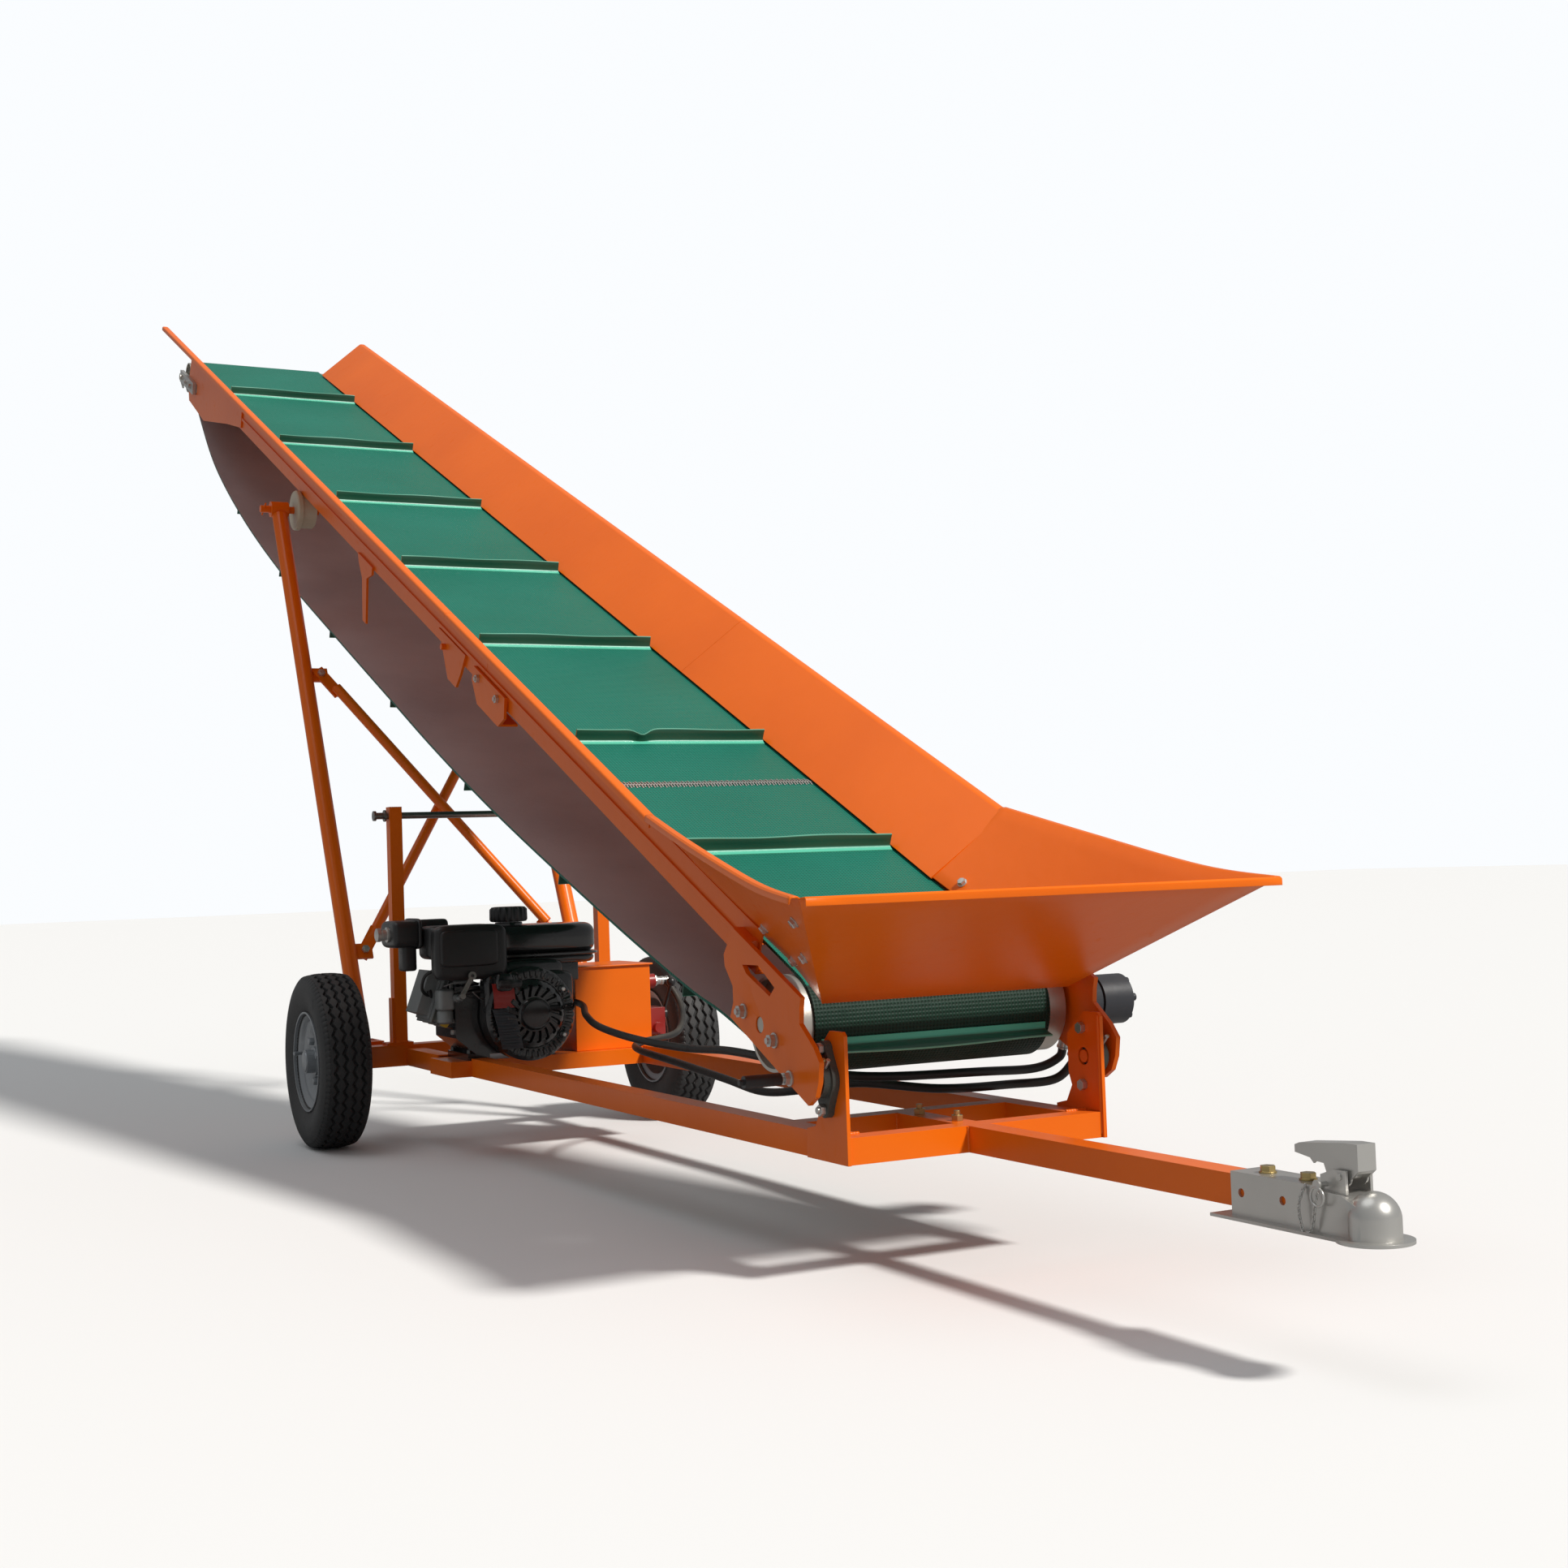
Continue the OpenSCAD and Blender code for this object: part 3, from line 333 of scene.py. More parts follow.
def surface_group() -> bpy.types.NodeTree:
    """Group: uneven tone, fine grain and dust that settles on upward faces near the ground.

    Returns:
        A tree that gives masks Tone, Dust and Scuff and a bump Height.
    """
    tree = group_shell("uneven_surface", {
        "Grain Scale": ("NodeSocketFloat", 300.0), "Peel Scale": ("NodeSocketFloat", 90.0),
        "Grain": ("NodeSocketFloat", 0.5)},
        {"Tone": "NodeSocketFloat", "Dust": "NodeSocketFloat", "Scuff": "NodeSocketFloat",
         "Height": "NodeSocketFloat"})
    source, sink = tree.nodes.new("NodeGroupInput"), tree.nodes.new("NodeGroupOutput")
    where = tree.nodes.new("ShaderNodeTexCoord").outputs["Object"]
    shape = tree.nodes.new("ShaderNodeNewGeometry")
    tree.links.new(remap(tree, noise(tree, where, 3.1, 4.0), 0.35, 0.7), sink.inputs["Tone"])
    split = tree.nodes.new("ShaderNodeSeparateXYZ")
    tree.links.new(shape.outputs["Normal"], split.inputs[0])
    height = tree.nodes.new("ShaderNodeSeparateXYZ")
    tree.links.new(where, height.inputs[0])
    up = remap(tree, split.outputs["Z"], 0.1, 1.0)
    low = remap(tree, height.outputs["Z"], 0.55, 0.1)
    patch = remap(tree, noise(tree, where, 11.0, 5.0), 0.4, 0.75)
    dust = math_node(tree, "MULTIPLY", math_node(tree, "MULTIPLY", up, patch), low)
    tree.links.new(dust, sink.inputs["Dust"])
    fine = noise(tree, where, 46.0, 6.0)
    tree.links.new(remap(tree, fine, 0.62, 0.74), sink.inputs["Scuff"])
    peel = noise(tree, where, source.outputs["Peel Scale"], 1.0)
    grain = noise(tree, where, source.outputs["Grain Scale"], 2.0)
    mixed = math_node(tree, "MULTIPLY", grain, source.outputs["Grain"])
    tree.links.new(math_node(tree, "ADD", peel, mixed), sink.inputs["Height"])
    return tree


def weave_group() -> bpy.types.NodeTree:
    """Group: a square weave on the piece's own UV map, in metres.

    The height is the sine of each UV axis at the pitch, so threads cross at right angles.
    """
    tree = group_shell("square_weave", {"Pitch": ("NodeSocketFloat", 0.004)},
                       {"Thread": "NodeSocketFloat", "Rib": "NodeSocketFloat"})
    source, sink = tree.nodes.new("NodeGroupInput"), tree.nodes.new("NodeGroupOutput")
    uv = tree.nodes.new("ShaderNodeUVMap")
    split = tree.nodes.new("ShaderNodeSeparateXYZ")
    tree.links.new(uv.outputs[0], split.inputs[0])
    waves = []
    for axis in ("X", "Y"):
        turns = math_node(tree, "DIVIDE", split.outputs[axis], source.outputs["Pitch"])
        wave = math_node(tree, "SINE", math_node(tree, "MULTIPLY", turns, 2 * math.pi))
        waves.append(math_node(tree, "MULTIPLY", math_node(tree, "ADD", wave, 1.0), 0.5))
    tree.links.new(math_node(tree, "MULTIPLY", *waves), sink.inputs["Thread"])
    tree.links.new(waves[1], sink.inputs["Rib"])
    return tree


SURFACE = surface_group()
WEAVE = weave_group()


class Pattern(Enum):
    """What a finish adds to plain paint or metal."""

    PLAIN = "plain"
    WEAVE = "weave"
    # CLEAT adds painted highlights: light mint bands on each blade's foot and top edge.
    CLEAT = "cleat"
    TYRE = "tyre"


@dataclass(frozen=True)
class Finish:
    """One surface finish and the numbers that set it.

    Colours are linear. Bump distances are in metres.
    """

    name: str
    colour: tuple[float, float, float]
    shade: tuple[float, float, float]
    dust: tuple[float, float, float] = (0.30, 0.25, 0.19)
    dusty: float = 0.3
    rough: float = 0.35
    rough_spread: float = 0.12
    metal: float = 0.0
    coat: float = 0.0
    shine: float = 0.5
    grain_scale: float = 300.0
    peel_scale: float = 60.0
    grain: float = 0.4
    bump: float = 0.0002
    pattern: Pattern = Pattern.PLAIN

    def build(self) -> bpy.types.Material:
        """The material, with this finish's own values in the shared groups."""
        material = bpy.data.materials.new(self.name)
        material.use_nodes = True
        tree = material.node_tree
        shader = tree.nodes["Principled BSDF"]
        shader.inputs["Metallic"].default_value = self.metal
        shader.inputs["Coat Weight"].default_value = self.coat
        shader.inputs["Coat Roughness"].default_value = 0.12
        shader.inputs["Specular IOR Level"].default_value = self.shine
        surface = tree.nodes.new("ShaderNodeGroup")
        surface.node_tree = SURFACE
        for key, value in (("Grain Scale", self.grain_scale), ("Peel Scale", self.peel_scale),
                           ("Grain", self.grain)):
            surface.inputs[key].default_value = value
        colour = self.mix(tree, self.colour, self.shade, surface.outputs["Tone"])
        height = surface.outputs["Height"]
        if self.pattern is Pattern.WEAVE:
            weave = tree.nodes.new("ShaderNodeGroup")
            weave.node_tree = WEAVE
            weave.inputs["Pitch"].default_value = 0.0062
            dark = tuple(0.45 * c for c in self.colour)
            colour = self.mix(tree, colour, dark, remap(tree, weave.outputs["Thread"], 0.25, 0.9))
            height = math_node(tree, "SUBTRACT", height, weave.outputs["Thread"])
        if self.pattern is Pattern.CLEAT:
            uv = tree.nodes.new("ShaderNodeUVMap")
            split = tree.nodes.new("ShaderNodeSeparateXYZ")
            tree.links.new(uv.outputs[0], split.inputs[0])
            # Painted highlight: a light mint band on the cleat's flared foot, where its upward faces catch
            # the light.
            lip = remap(tree, split.outputs["Y"], 0.22, 0.12)
            colour = self.mix(tree, colour, (0.09, 0.52, 0.36), lip)
            # Painted highlight: a light mint band along the top edge of the blade, where it catches the
            # light.
            top = remap(tree, split.outputs["Y"], 0.93, 0.99)
            colour = self.mix(tree, colour, (0.13, 0.42, 0.31), top)
        dusty = math_node(tree, "MULTIPLY", surface.outputs["Dust"], self.dusty)
        colour = self.mix(tree, colour, self.dust, dusty)
        tree.links.new(colour, shader.inputs["Base Color"])
        rough = remap(tree, surface.outputs["Scuff"], 0, 1, self.rough, self.rough + self.rough_spread)
        tree.links.new(rough, shader.inputs["Roughness"])
        bump = tree.nodes.new("ShaderNodeBump")
        bump.inputs["Distance"].default_value = self.bump
        tree.links.new(height, bump.inputs["Height"])
        tree.links.new(bump.outputs[0], shader.inputs["Normal"])
        return material

    @staticmethod
    def mix(tree: bpy.types.NodeTree, a, b, factor) -> bpy.types.NodeSocket:
        """Colour a turning into colour b by a mask."""
        node = tree.nodes.new("ShaderNodeMix")
        node.data_type = "RGBA"
        tree.links.new(factor, node.inputs[0])
        for slot, value in ((node.inputs[6], a), (node.inputs[7], b)):
            if isinstance(value, bpy.types.NodeSocket):
                tree.links.new(value, slot)
            else:
                slot.default_value = (*value, 1.0)
        return node.outputs[2]


ORANGE = Finish("orange_paint", (0.88, 0.160, 0.004), (0.82, 0.142, 0.003), rough=0.30,
                coat=0.0, shine=0.28, dusty=0.08, peel_scale=40, bump=0.0003)
BARE = Finish("bare_steel", (0.30, 0.29, 0.27), (0.20, 0.19, 0.18), metal=0.9, rough=0.35)
ZINC = Finish("zinc_plate", (0.66, 0.65, 0.62), (0.50, 0.49, 0.47), metal=0.75, rough=0.30,
              grain_scale=500, bump=0.0001)
YELLOW_ZINC = Finish("yellow_zinc", (0.56, 0.44, 0.20), (0.42, 0.30, 0.12), metal=0.9, rough=0.3)
CASTING = Finish("bearing_casting", (0.075, 0.085, 0.075), (0.05, 0.058, 0.05), rough=0.5,
                 grain_scale=420, grain=1.0, bump=0.0006)
ROLLER = Finish("roller_steel", (0.62, 0.60, 0.55), (0.48, 0.46, 0.41), metal=0.75, rough=0.38)
BLACK = Finish("black_enamel", (0.012, 0.012, 0.013), (0.020, 0.020, 0.021), rough=0.22, coat=0.5,
               dusty=0.25, bump=0.0002)
BLACK_PLASTIC = Finish("black_plastic", (0.014, 0.014, 0.015), (0.022, 0.022, 0.023), rough=0.36,
                       grain_scale=700, grain=1.0, bump=0.0002, dusty=0.2)
ALUMINIUM = Finish("cast_aluminium", (0.30, 0.31, 0.31), (0.20, 0.21, 0.21), metal=0.6, rough=0.5,
                   grain_scale=500, grain=1.0, bump=0.0006)
MOTOR = Finish("motor_paint", (0.035, 0.038, 0.046), (0.026, 0.028, 0.034), rough=0.42)
RED = Finish("red_enamel", (0.35, 0.02, 0.015), (0.25, 0.015, 0.012), rough=0.35, coat=0.3)
YELLOW = Finish("yellow_plastic", (0.60, 0.38, 0.03), (0.45, 0.28, 0.02), rough=0.4)
HOSE = Finish("hose_rubber", (0.012, 0.012, 0.012), (0.020, 0.020, 0.019), rough=0.45,
              grain_scale=900, grain=1.0, bump=0.0003, dusty=0.5)
TYRE = Finish("tyre_rubber", (0.020, 0.021, 0.022), (0.045, 0.045, 0.046), rough=0.62, dusty=1.0,
              dust=(0.16, 0.15, 0.14), grain_scale=600, grain=1.0, bump=0.0006)
WHEEL = Finish("wheel_paint", (0.33, 0.35, 0.37), (0.26, 0.28, 0.30), rough=0.35, metal=0.4)
NYLON = Finish("cream_nylon", (0.62, 0.58, 0.44), (0.50, 0.46, 0.34), rough=0.45)
BELT = Finish("green_belt", (0.008, 0.180, 0.125), (0.006, 0.155, 0.105), rough=0.46, shine=0.3,
              pattern=Pattern.WEAVE, bump=0.0009, dusty=0.0)
# Painted shade: a much darker copy of the belt green, for the belt where it wraps the tail drum under the
# hopper. It stands for the hopper's shadow.
BELT_SHADE_AT_DRUM = Finish("belt_painted_shade_at_drum", (0.006, 0.030, 0.018), (0.004, 0.022, 0.013), rough=0.55, shine=0.25,
              pattern=Pattern.WEAVE, bump=0.0009, dusty=0.0)
CARCASS = Finish("belt_carcass", (0.480, 0.435, 0.440), (0.390, 0.350, 0.360), rough=0.6,
                 grain_scale=700, grain=1.0, bump=0.0004, dusty=0.0)
# Its pattern paints highlights on the foot and top edge of each blade.
CLEAT = Finish("cleat_rubber", (0.010, 0.085, 0.050), (0.008, 0.065, 0.040), rough=0.35,
               pattern=Pattern.CLEAT, dusty=0.0)
LACING = Finish("lacing_wire", (0.62, 0.62, 0.60), (0.40, 0.42, 0.40), rough=0.35, metal=0.6)


class Shop:
    """Keeps the materials and gives each piece its finish, its body and the nodes it stands for."""

    def __init__(self) -> None:
        """Starts with no materials and no pieces."""
        self.materials: dict[str, bpy.types.Material] = {}
        self.pieces: list[bpy.types.Object] = []
        self.body_of = {n: b for b, ns in frame["record"]["behaviour"]["bodies"].items() for n in ns}
        self.slot_of = {p["node"]: p["material_slot"] for p in frame["record"]["subparts"]}

    def material(self, finish: Finish) -> bpy.types.Material:
        """The material of a finish, made once."""
        if finish.name not in self.materials:
            self.materials[finish.name] = finish.build()
        return self.materials[finish.name]

    def place(self, obj: bpy.types.Object, finish: Finish, body: str, nodes: Sequence[str] = (),
              slot: Optional[str] = None) -> bpy.types.Object:
        """Dresses a piece and puts it on its body.

        Args:
            obj: the piece.
            finish: its finish, unless it has materials already.
            body: the body it moves with.
            nodes: CAD nodes that it stands for.
            slot: not used.

        Returns:
            The same piece.
        """
        if not obj.data.materials:
            obj.data.materials.append(self.material(finish))
        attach(obj, body)
        if nodes:
            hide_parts(*nodes)
        self.pieces.append(obj)
        LOG.info("piece %s on %s", obj.name, body)
        return obj

    def shaped(self, node: str, finish: Finish, width: float = 1.2) -> bpy.types.Object:
        """A merged copy of a CAD node with its crisp edges rounded.

        Args:
            node: the CAD node to stand for.
            finish: its finish.
            width: width of the rounded edge in millimetres.
        """
        source = frame["nodes"][node]
        mesh = source.data.copy()
        mesh.name = node + "_piece"
        mesh.materials.clear()
        bm = bmesh.new()
        bm.from_mesh(mesh)
        bmesh.ops.remove_doubles(bm, verts=bm.verts[:], dist=2e-6)
        bmesh.ops.dissolve_limit(bm, angle_limit=math.radians(0.6), verts=bm.verts[:], edges=bm.edges[:])
        bm.to_mesh(mesh)
        bm.free()
        mesh.polygons.foreach_set("use_smooth", np.ones(len(mesh.polygons), bool))
        mesh.set_sharp_from_angle(angle=math.radians(30))
        obj = bpy.data.objects.new(node + "_piece", mesh)
        bpy.context.scene.collection.objects.link(obj)
        if width > 0:
            bevel = obj.modifiers.new("edges", "BEVEL")
            bevel.width = width * MM
            bevel.segments = 2
            bevel.limit_method = "ANGLE"
            bevel.angle_limit = math.radians(40)
            bevel.harden_normals = True
            bevel.use_clamp_overlap = True
        return self.place(obj, finish, self.body_of[node], [node])

    def paint(self, node: str, finish: Finish) -> None:
        """Gives a carried CAD node its finish as it stands."""
        obj = frame["nodes"][node]
        obj.data.materials.clear()
        obj.data.materials.append(self.material(finish))
        LOG.info("node %s painted", node)


# ---------------------------------------------------------------- belt


@dataclass
class Belt:
    """The endless belt with its cleats and wire lacing. Sizes in millimetres."""

    width: float = 430.0
    thick: float = 5.0
    tail: tuple[float, float] = (175.0, -80.4)
    head: tuple[float, float] = (4990.0, -56.4)
    tail_r: float = 77.9
    head_r: float = 53.9
    cleat_h: float = 28.0
    cleat_half: float = 205.0
    cleat_at: tuple[float, ...] = (650, 1199, 1812, 2432, 3071, 3754, 4454)
    hang_first: float = 578.0
    hang_pitch: float = 610.0
    sag: tuple[tuple[float, float], ...] = (
        (168, -155.5), (395, -177), (545, -201), (915, -241), (1520, -292), (1990, -316),
        (2405, -326), (2945, -338), (3545, -346), (4100, -326), (4560, -270), (4850, -178),
        (5010, -104))

    def middle_line(self) -> Array:
        """The closed middle line: straight top, arc at the head, sagging return, arc at the tail."""
        top = np.stack([np.linspace(self.tail[0], self.head[0], 150), np.full(150, -self.thick / 2)], 1)
        head = self.arc(self.head, self.head_r, 90, -67, 22)
        back = smooth_path(self.sag, 8)[::-1] - [0, self.thick / 2]
        tail = self.arc(self.tail, self.tail_r, 264.6, 90, 30)
        return np.concatenate([top[:-1], head, back[1:-1], tail[:-1]])

    @staticmethod
    def arc(centre: Sequence, radius: float, start: float, end: float, count: int) -> Array:
        """Points on a circle between two angles in degrees."""
        a = np.radians(np.linspace(start, end, count))
        return np.stack([centre[0] + radius * np.cos(a), centre[1] + radius * np.sin(a)], axis=1)

    def loop(self, shop: Shop) -> None:
        """The belt itself: a flat ring of points carried round the middle line."""
        line = self.middle_line()
        step = np.roll(line, -1, 0) - np.roll(line, 1, 0)
        step /= np.linalg.norm(step, axis=1, keepdims=True)
        out = np.stack([-step[:, 1], step[:, 0]], axis=1)
        x = np.linspace(-self.width / 2, self.width / 2, 9)
        across = np.concatenate([x, x[::-1]])
        side = np.concatenate([np.full(9, 0.5), np.full(9, -0.5)]) * self.thick
        sn = line[:, None] + side[None, :, None] * out[:, None]
        points = np.concatenate([np.broadcast_to(across[None, :, None], sn.shape[:2] + (1,)), sn], 2)
        rows, cols = points.shape[:2]
        faces = grid_faces(rows, cols, True, True)
        obj = new_object("belt_loop", on_belt(points), faces.tolist())
        length = np.concatenate([[0], np.cumsum(np.linalg.norm(np.diff(line, axis=0), axis=1))]) * MM
        total = length[-1] + np.linalg.norm(line[0] - line[-1]) * MM
        mesh = obj.data
        vertex = np.zeros(len(mesh.loops), np.int64)
        mesh.loops.foreach_get("vertex_index", vertex)
        row, face = vertex // cols, np.arange(len(vertex)) // 4
        v = np.where((face // cols == rows - 1) & (row == 0), total, length[row])
        uv = np.stack([across[vertex % cols] * MM, v], axis=1).astype(np.float32)
        mesh.uv_layers.new(name="belt_map").data.foreach_set("uv", uv.ravel())
        mesh.materials.append(shop.material(BELT))
        mesh.materials.append(shop.material(CARCASS))
        mesh.materials.append(shop.material(BELT_SHADE_AT_DRUM))
        column, place = np.arange(len(mesh.polygons)) % cols, np.arange(len(mesh.polygons)) // cols
        inner = (column >= 8) & (column < 17)
        # Painted shade: the outer faces round the tail drum take the darker belt material, standing for the
        # shadow under the hopper.
        turn = (line[place, 0] < self.tail[0] - 25) & ~inner
        mesh.polygons.foreach_set("material_index", (inner + 2 * turn).astype(np.int32))
        shop.place(obj, BELT, "conveyor", ["belt"])

    def cleat(self, base: Array, along: Array, phase: float, dent: bool) -> tuple[Array, list, Array]:
        """One cleat: a footed blade whose top leans and waves across the belt.

        The lean is a sine of the place across, times the square of the height.

        Args:
            base: place of the foot, along and above the belt.
            along: unit direction of travel.
            phase: start of the wave.
            dent: whether the blade is knocked in near one side.

        Returns:
            Points, faces and the height of each point as a share of the blade.
        """
        half = np.array([
            (13, 0), (13, 1.5), (8, 2.6), (3.6, 4.6), (2.3, 8), (1.9, 17), (1.8, 26.6), (0.9, 28),
        ])
        profile = np.concatenate([half, (half * [-1, 1])[::-1]])
        up = np.array([-along[1], along[0]])
        x = np.linspace(-self.cleat_half, self.cleat_half, 56)[:, None]
        share = profile[None, :, 1] / 28.0
        lean = 2.2 * share**2 * np.sin(x / 58 + phase)
        hit = np.exp(-(((x + 66) / 17) ** 2)) if dent else np.zeros_like(x)
        height = profile[None, :, 1] * (1 + 0.025 * np.sin(x / 37 + phase)) * (1 - 0.30 * hit)
        shift = profile[None, :, 0] + lean - 9 * hit * share
        sn = base + shift[..., None] * along + height[..., None] * up
        points = np.concatenate([np.broadcast_to(x[..., None], sn.shape[:2] + (1,)), sn], 2)
        flat, faces = rings(on_belt(points))
        return flat, faces, np.broadcast_to(share, shift.shape).ravel()

    def places(self) -> list[tuple[Array, Array]]:
        """Foot and direction of travel of each cleat, round the whole belt."""
        found = [(np.array([s, 0.0]), np.array([1.0, 0.0])) for s in self.cleat_at]
        curve = smooth_path(self.sag, 8)
        for k in range(7):
            s = self.hang_first + k * self.hang_pitch
            n0, n1 = np.interp([s - 30, s + 30], curve[:, 0], curve[:, 1])
            along = np.array([-60.0, n0 - n1])
            foot = np.array([s, (n0 + n1) / 2 - self.thick])
            found.append((foot, along / np.linalg.norm(along)))
        front = np.array([self.tail[0] - self.tail_r - self.thick / 2, self.tail[1]])
        found.append((front, np.array([0.0, 1.0])))
        return found

    def cleats(self, shop: Shop) -> None:
        """All the cleats as one piece, with their height on the UV map."""
        parts, shares = [], []
        for k, (base, along) in enumerate(self.places()):
            flat, faces, share = self.cleat(base, along, 1.7 * k, k == 1)
            parts.append((flat, faces))
            shares.append(share)
        points, faces = gather(parts)
        obj = new_object("belt_cleats", points, faces, 50)
        share = np.concatenate(shares)
        vertex = np.zeros(len(obj.data.loops), np.int64)
        obj.data.loops.foreach_get("vertex_index", vertex)
        uv = np.stack([points[vertex, 0], share[vertex]], axis=1).astype(np.float32)
        obj.data.uv_layers.new(name="cleat_map").data.foreach_set("uv", uv.ravel())
        shop.place(obj, CLEAT, "conveyor", ["cleats"])

    def lacing(self, shop: Shop) -> None:
        """Wire hooks of the belt joint: short arches side by side across the belt."""
        t = np.linspace(0, np.pi, 9)
        parts = []
        for k, x in enumerate(np.arange(-206, 207, 6.0)):
            s = 970 + 5.0 * math.sin((x + 206) / 412 * math.pi * 0.5) ** 4 + (1.5 if k % 2 else -1.5)
            arch = np.stack([np.full(9, x), s + 13 * np.cos(t), 2.0 * np.sin(t) + 0.2], axis=1)
            parts.append(tube(on_belt(arch), 1.25 * MM, 6))
        rod = np.array([[-209, 969, 0.8], [0, 972, 0.8], [209, 975, 0.8]], float)
        parts.append(tube(on_belt(smooth_path(rod, 12)), 1.4 * MM, 8))
        shop.place(new_object("lacing_hooks", *gather(parts)), LACING, "conveyor", ["belt_lacing"])

    def build(self, shop: Shop) -> None:
        """Makes the belt, its cleats and its joint."""
        self.loop(shop)
        self.cleats(shop)
        self.lacing(shop)


# ---------------------------------------------------------------- trough and hopper


@dataclass
class Trough:
    """Side boards folded from sheet, and the feed hopper. Sizes in millimetres."""

    sheet: float = 3.0
    edge: float = 207.0
    reach: float = 128.0
    rise: float = 122.0
    lip: float = 15.5
    joint: float = 1630.0
    start: float = 500.0
    end: float = 4910.0

    def board(self, s0: float, s1: float) -> tuple[Array, list]:
        """One board: a folded section carried along the belt between two stations."""
        top = np.array([self.edge + self.reach, self.rise + 3])
        path = [
            (self.edge + 1, 4.5), tuple(top),
            (top[0] + self.lip, top[1]), (top[0] + self.lip, top[1] - 11),
        ]
        section = sheet_section(bent(path, 4), self.sheet)
        s = np.array([s0, *np.linspace(s0 + 1, s1 - 1, 12), s1])
        grid = np.empty((len(s), len(section), 3))
        grid[..., 0], grid[..., 2] = section[None, :, 0], section[None, :, 1]
        grid[..., 1] = s[:, None]
        return rings(on_belt(grid))

    def boards(self, shop: Shop) -> None:
        """Both pairs of boards."""
        for node, s0, s1 in (
            ("boards_lower", self.start, self.joint - 0.6),
            ("boards_upper", self.joint + 0.6, self.end),
        ):
            part = self.board(s0, s1)
            obj = new_object(node + "_sheet", *gather([part, mirrored(part)]), sharp=40)
            shop.place(obj, ORANGE, "conveyor", [node])

    def front(self, shop: Shop) -> None:
        """The sloping front panel with its folded top flange and small corner tabs."""
        low, high = np.array([224.0, 74.0, 234.0]), np.array([408.0, -215.0, 394.0])
        out = np.array([0.0, 160.0, 289.0]) / math.hypot(160, 289)
        steps = np.linspace(0, 1, 9)[:, None]
        rows = [low + (high - low) * t for t in steps]
        rows = np.array([r.ravel() for r in rows])
        flange = np.array([
            high + [0, -3, 2.5], high + [0, -15, 3.5],
            high + [0, -17, 1.5], high + [0, -17, -8],
        ])
        edge = np.concatenate([rows, flange])
        across = np.linspace(-1, 1, 13)[None, :, None]
        face = np.repeat(edge[:, None, :], 13, axis=1)
        face[..., 0:1] = face[..., 0:1] * across
        bow = (
            1.2 * (1 - across[..., 0] ** 2)
            * np.concatenate([np.sin(steps[:, 0] * np.pi), np.zeros(4)])[:, None]
        )
        face = face + bow[..., None] * out
        points = on_chassis(face)
        obj = new_object("hopper_front_sheet", points, grid_faces(13, 13).tolist(), 30)
        self.thicken(obj)
        shop.place(obj, ORANGE, "conveyor", ["hopper_front"])

    @staticmethod
    def thicken(obj: bpy.types.Object, thick: float = 3.0) -> None:
        """Gives an open sheet its thickness and slightly rounded edges."""
        wall = obj.modifiers.new("sheet", "SOLIDIFY")
        wall.thickness = thick * MM
        wall.offset = 0.0
        edges = obj.modifiers.new("edges", "BEVEL")
        edges.width = 0.6 * MM
        edges.segments = 2
        edges.limit_method = "ANGLE"
        edges.angle_limit = math.radians(50)

    def side(self) -> Array:
        """One hopper side: a ruled sheet between the board's end and the front panel's edge.

        Each row is a straight line from the lower rim to the upper rim, and the rims are curves.
        """
        c, s = math.cos(INCLINE), math.sin(INCLINE)

        def from_chassis(x: float, y: float, z: float) -> list[float]:
            """A chassis point in the belt's own directions."""
            z -= 198.4
            return [x, y * c + z * s, -y * s + z * c]

        lower = np.array([from_chassis(222, 76, 236), [219, 190, 12], [216, 330, 8], [211, 520, 5]])
        upper = np.array([from_chassis(406.5, -214, 396), [386, 40, 222], [361, 300, 168],
                          [self.edge + self.reach + 1, 520, self.rise + 4]])
        low, high = smooth_path(lower, 8), smooth_path(upper, 8)
        t = np.linspace(0, 1, 9)[None, :, None]
        return low[:, None] * (1 - t) + high[:, None] * t

    def sides(self, shop: Shop) -> None:
        """Both hopper sides, with a folded rim along the top of each."""
        sheet = self.side()
        rim = np.stack([
            sheet[:, -1] + [4, 0, 2.5],
            sheet[:, -1] + [13, 0, 2.5],
            sheet[:, -1] + [15, 0, 0.5],
            sheet[:, -1] + [15, 0, -8],
        ], 1)
        whole = np.concatenate([sheet, rim], axis=1)
        n, m = whole.shape[:2]
        part = (on_belt(whole).reshape(-1, 3), grid_faces(n, m).tolist())
        obj = new_object("hopper_side_sheets", *gather([part, mirrored(part)]), sharp=30)
        self.thicken(obj, 2.6)
        shop.place(obj, ORANGE, "conveyor", ["hopper_sides"])

    def bolts(self, shop: Shop) -> None:
        """Bolt heads on both faces of each hopper side."""
        sheet = self.side()
        parts = []
        for i, j in ((3, 3), (7, 1), (12, 2), (16, 1), (20, 1), (3, 6)):
            p = sheet[i, j]
            du, dv = sheet[i + 1, j] - sheet[i - 1, j], sheet[i, j + 1] - sheet[i, j - 1]
            out = np.cross(du, dv)
            out = on_belt(out) - BELT_ORIGIN
            out /= np.linalg.norm(out)
            out *= 1 if out[0] > 0 else -1
            here = on_belt(p)
            for way in (1, -1):
                washer = lathe([(-1, 9), (1.6, 9), (2.0, 8.4)], here + way * out * 1.4 * MM, way * out, 24)
                head = hexagon_head(here + way * out * 3.2 * MM, way * out, 13, 6)
                parts += [washer, head, mirrored(washer), mirrored(head)]
        shop.place(new_object("hopper_bolt_heads", *gather(parts)), ZINC, "conveyor", ["hopper_bolts"])

    def build(self, shop: Shop) -> None:
        """Makes the boards and the hopper."""
        self.boards(shop)
        self.front(shop)
        self.sides(shop)
        self.bolts(shop)


# ---------------------------------------------------------------- wheels


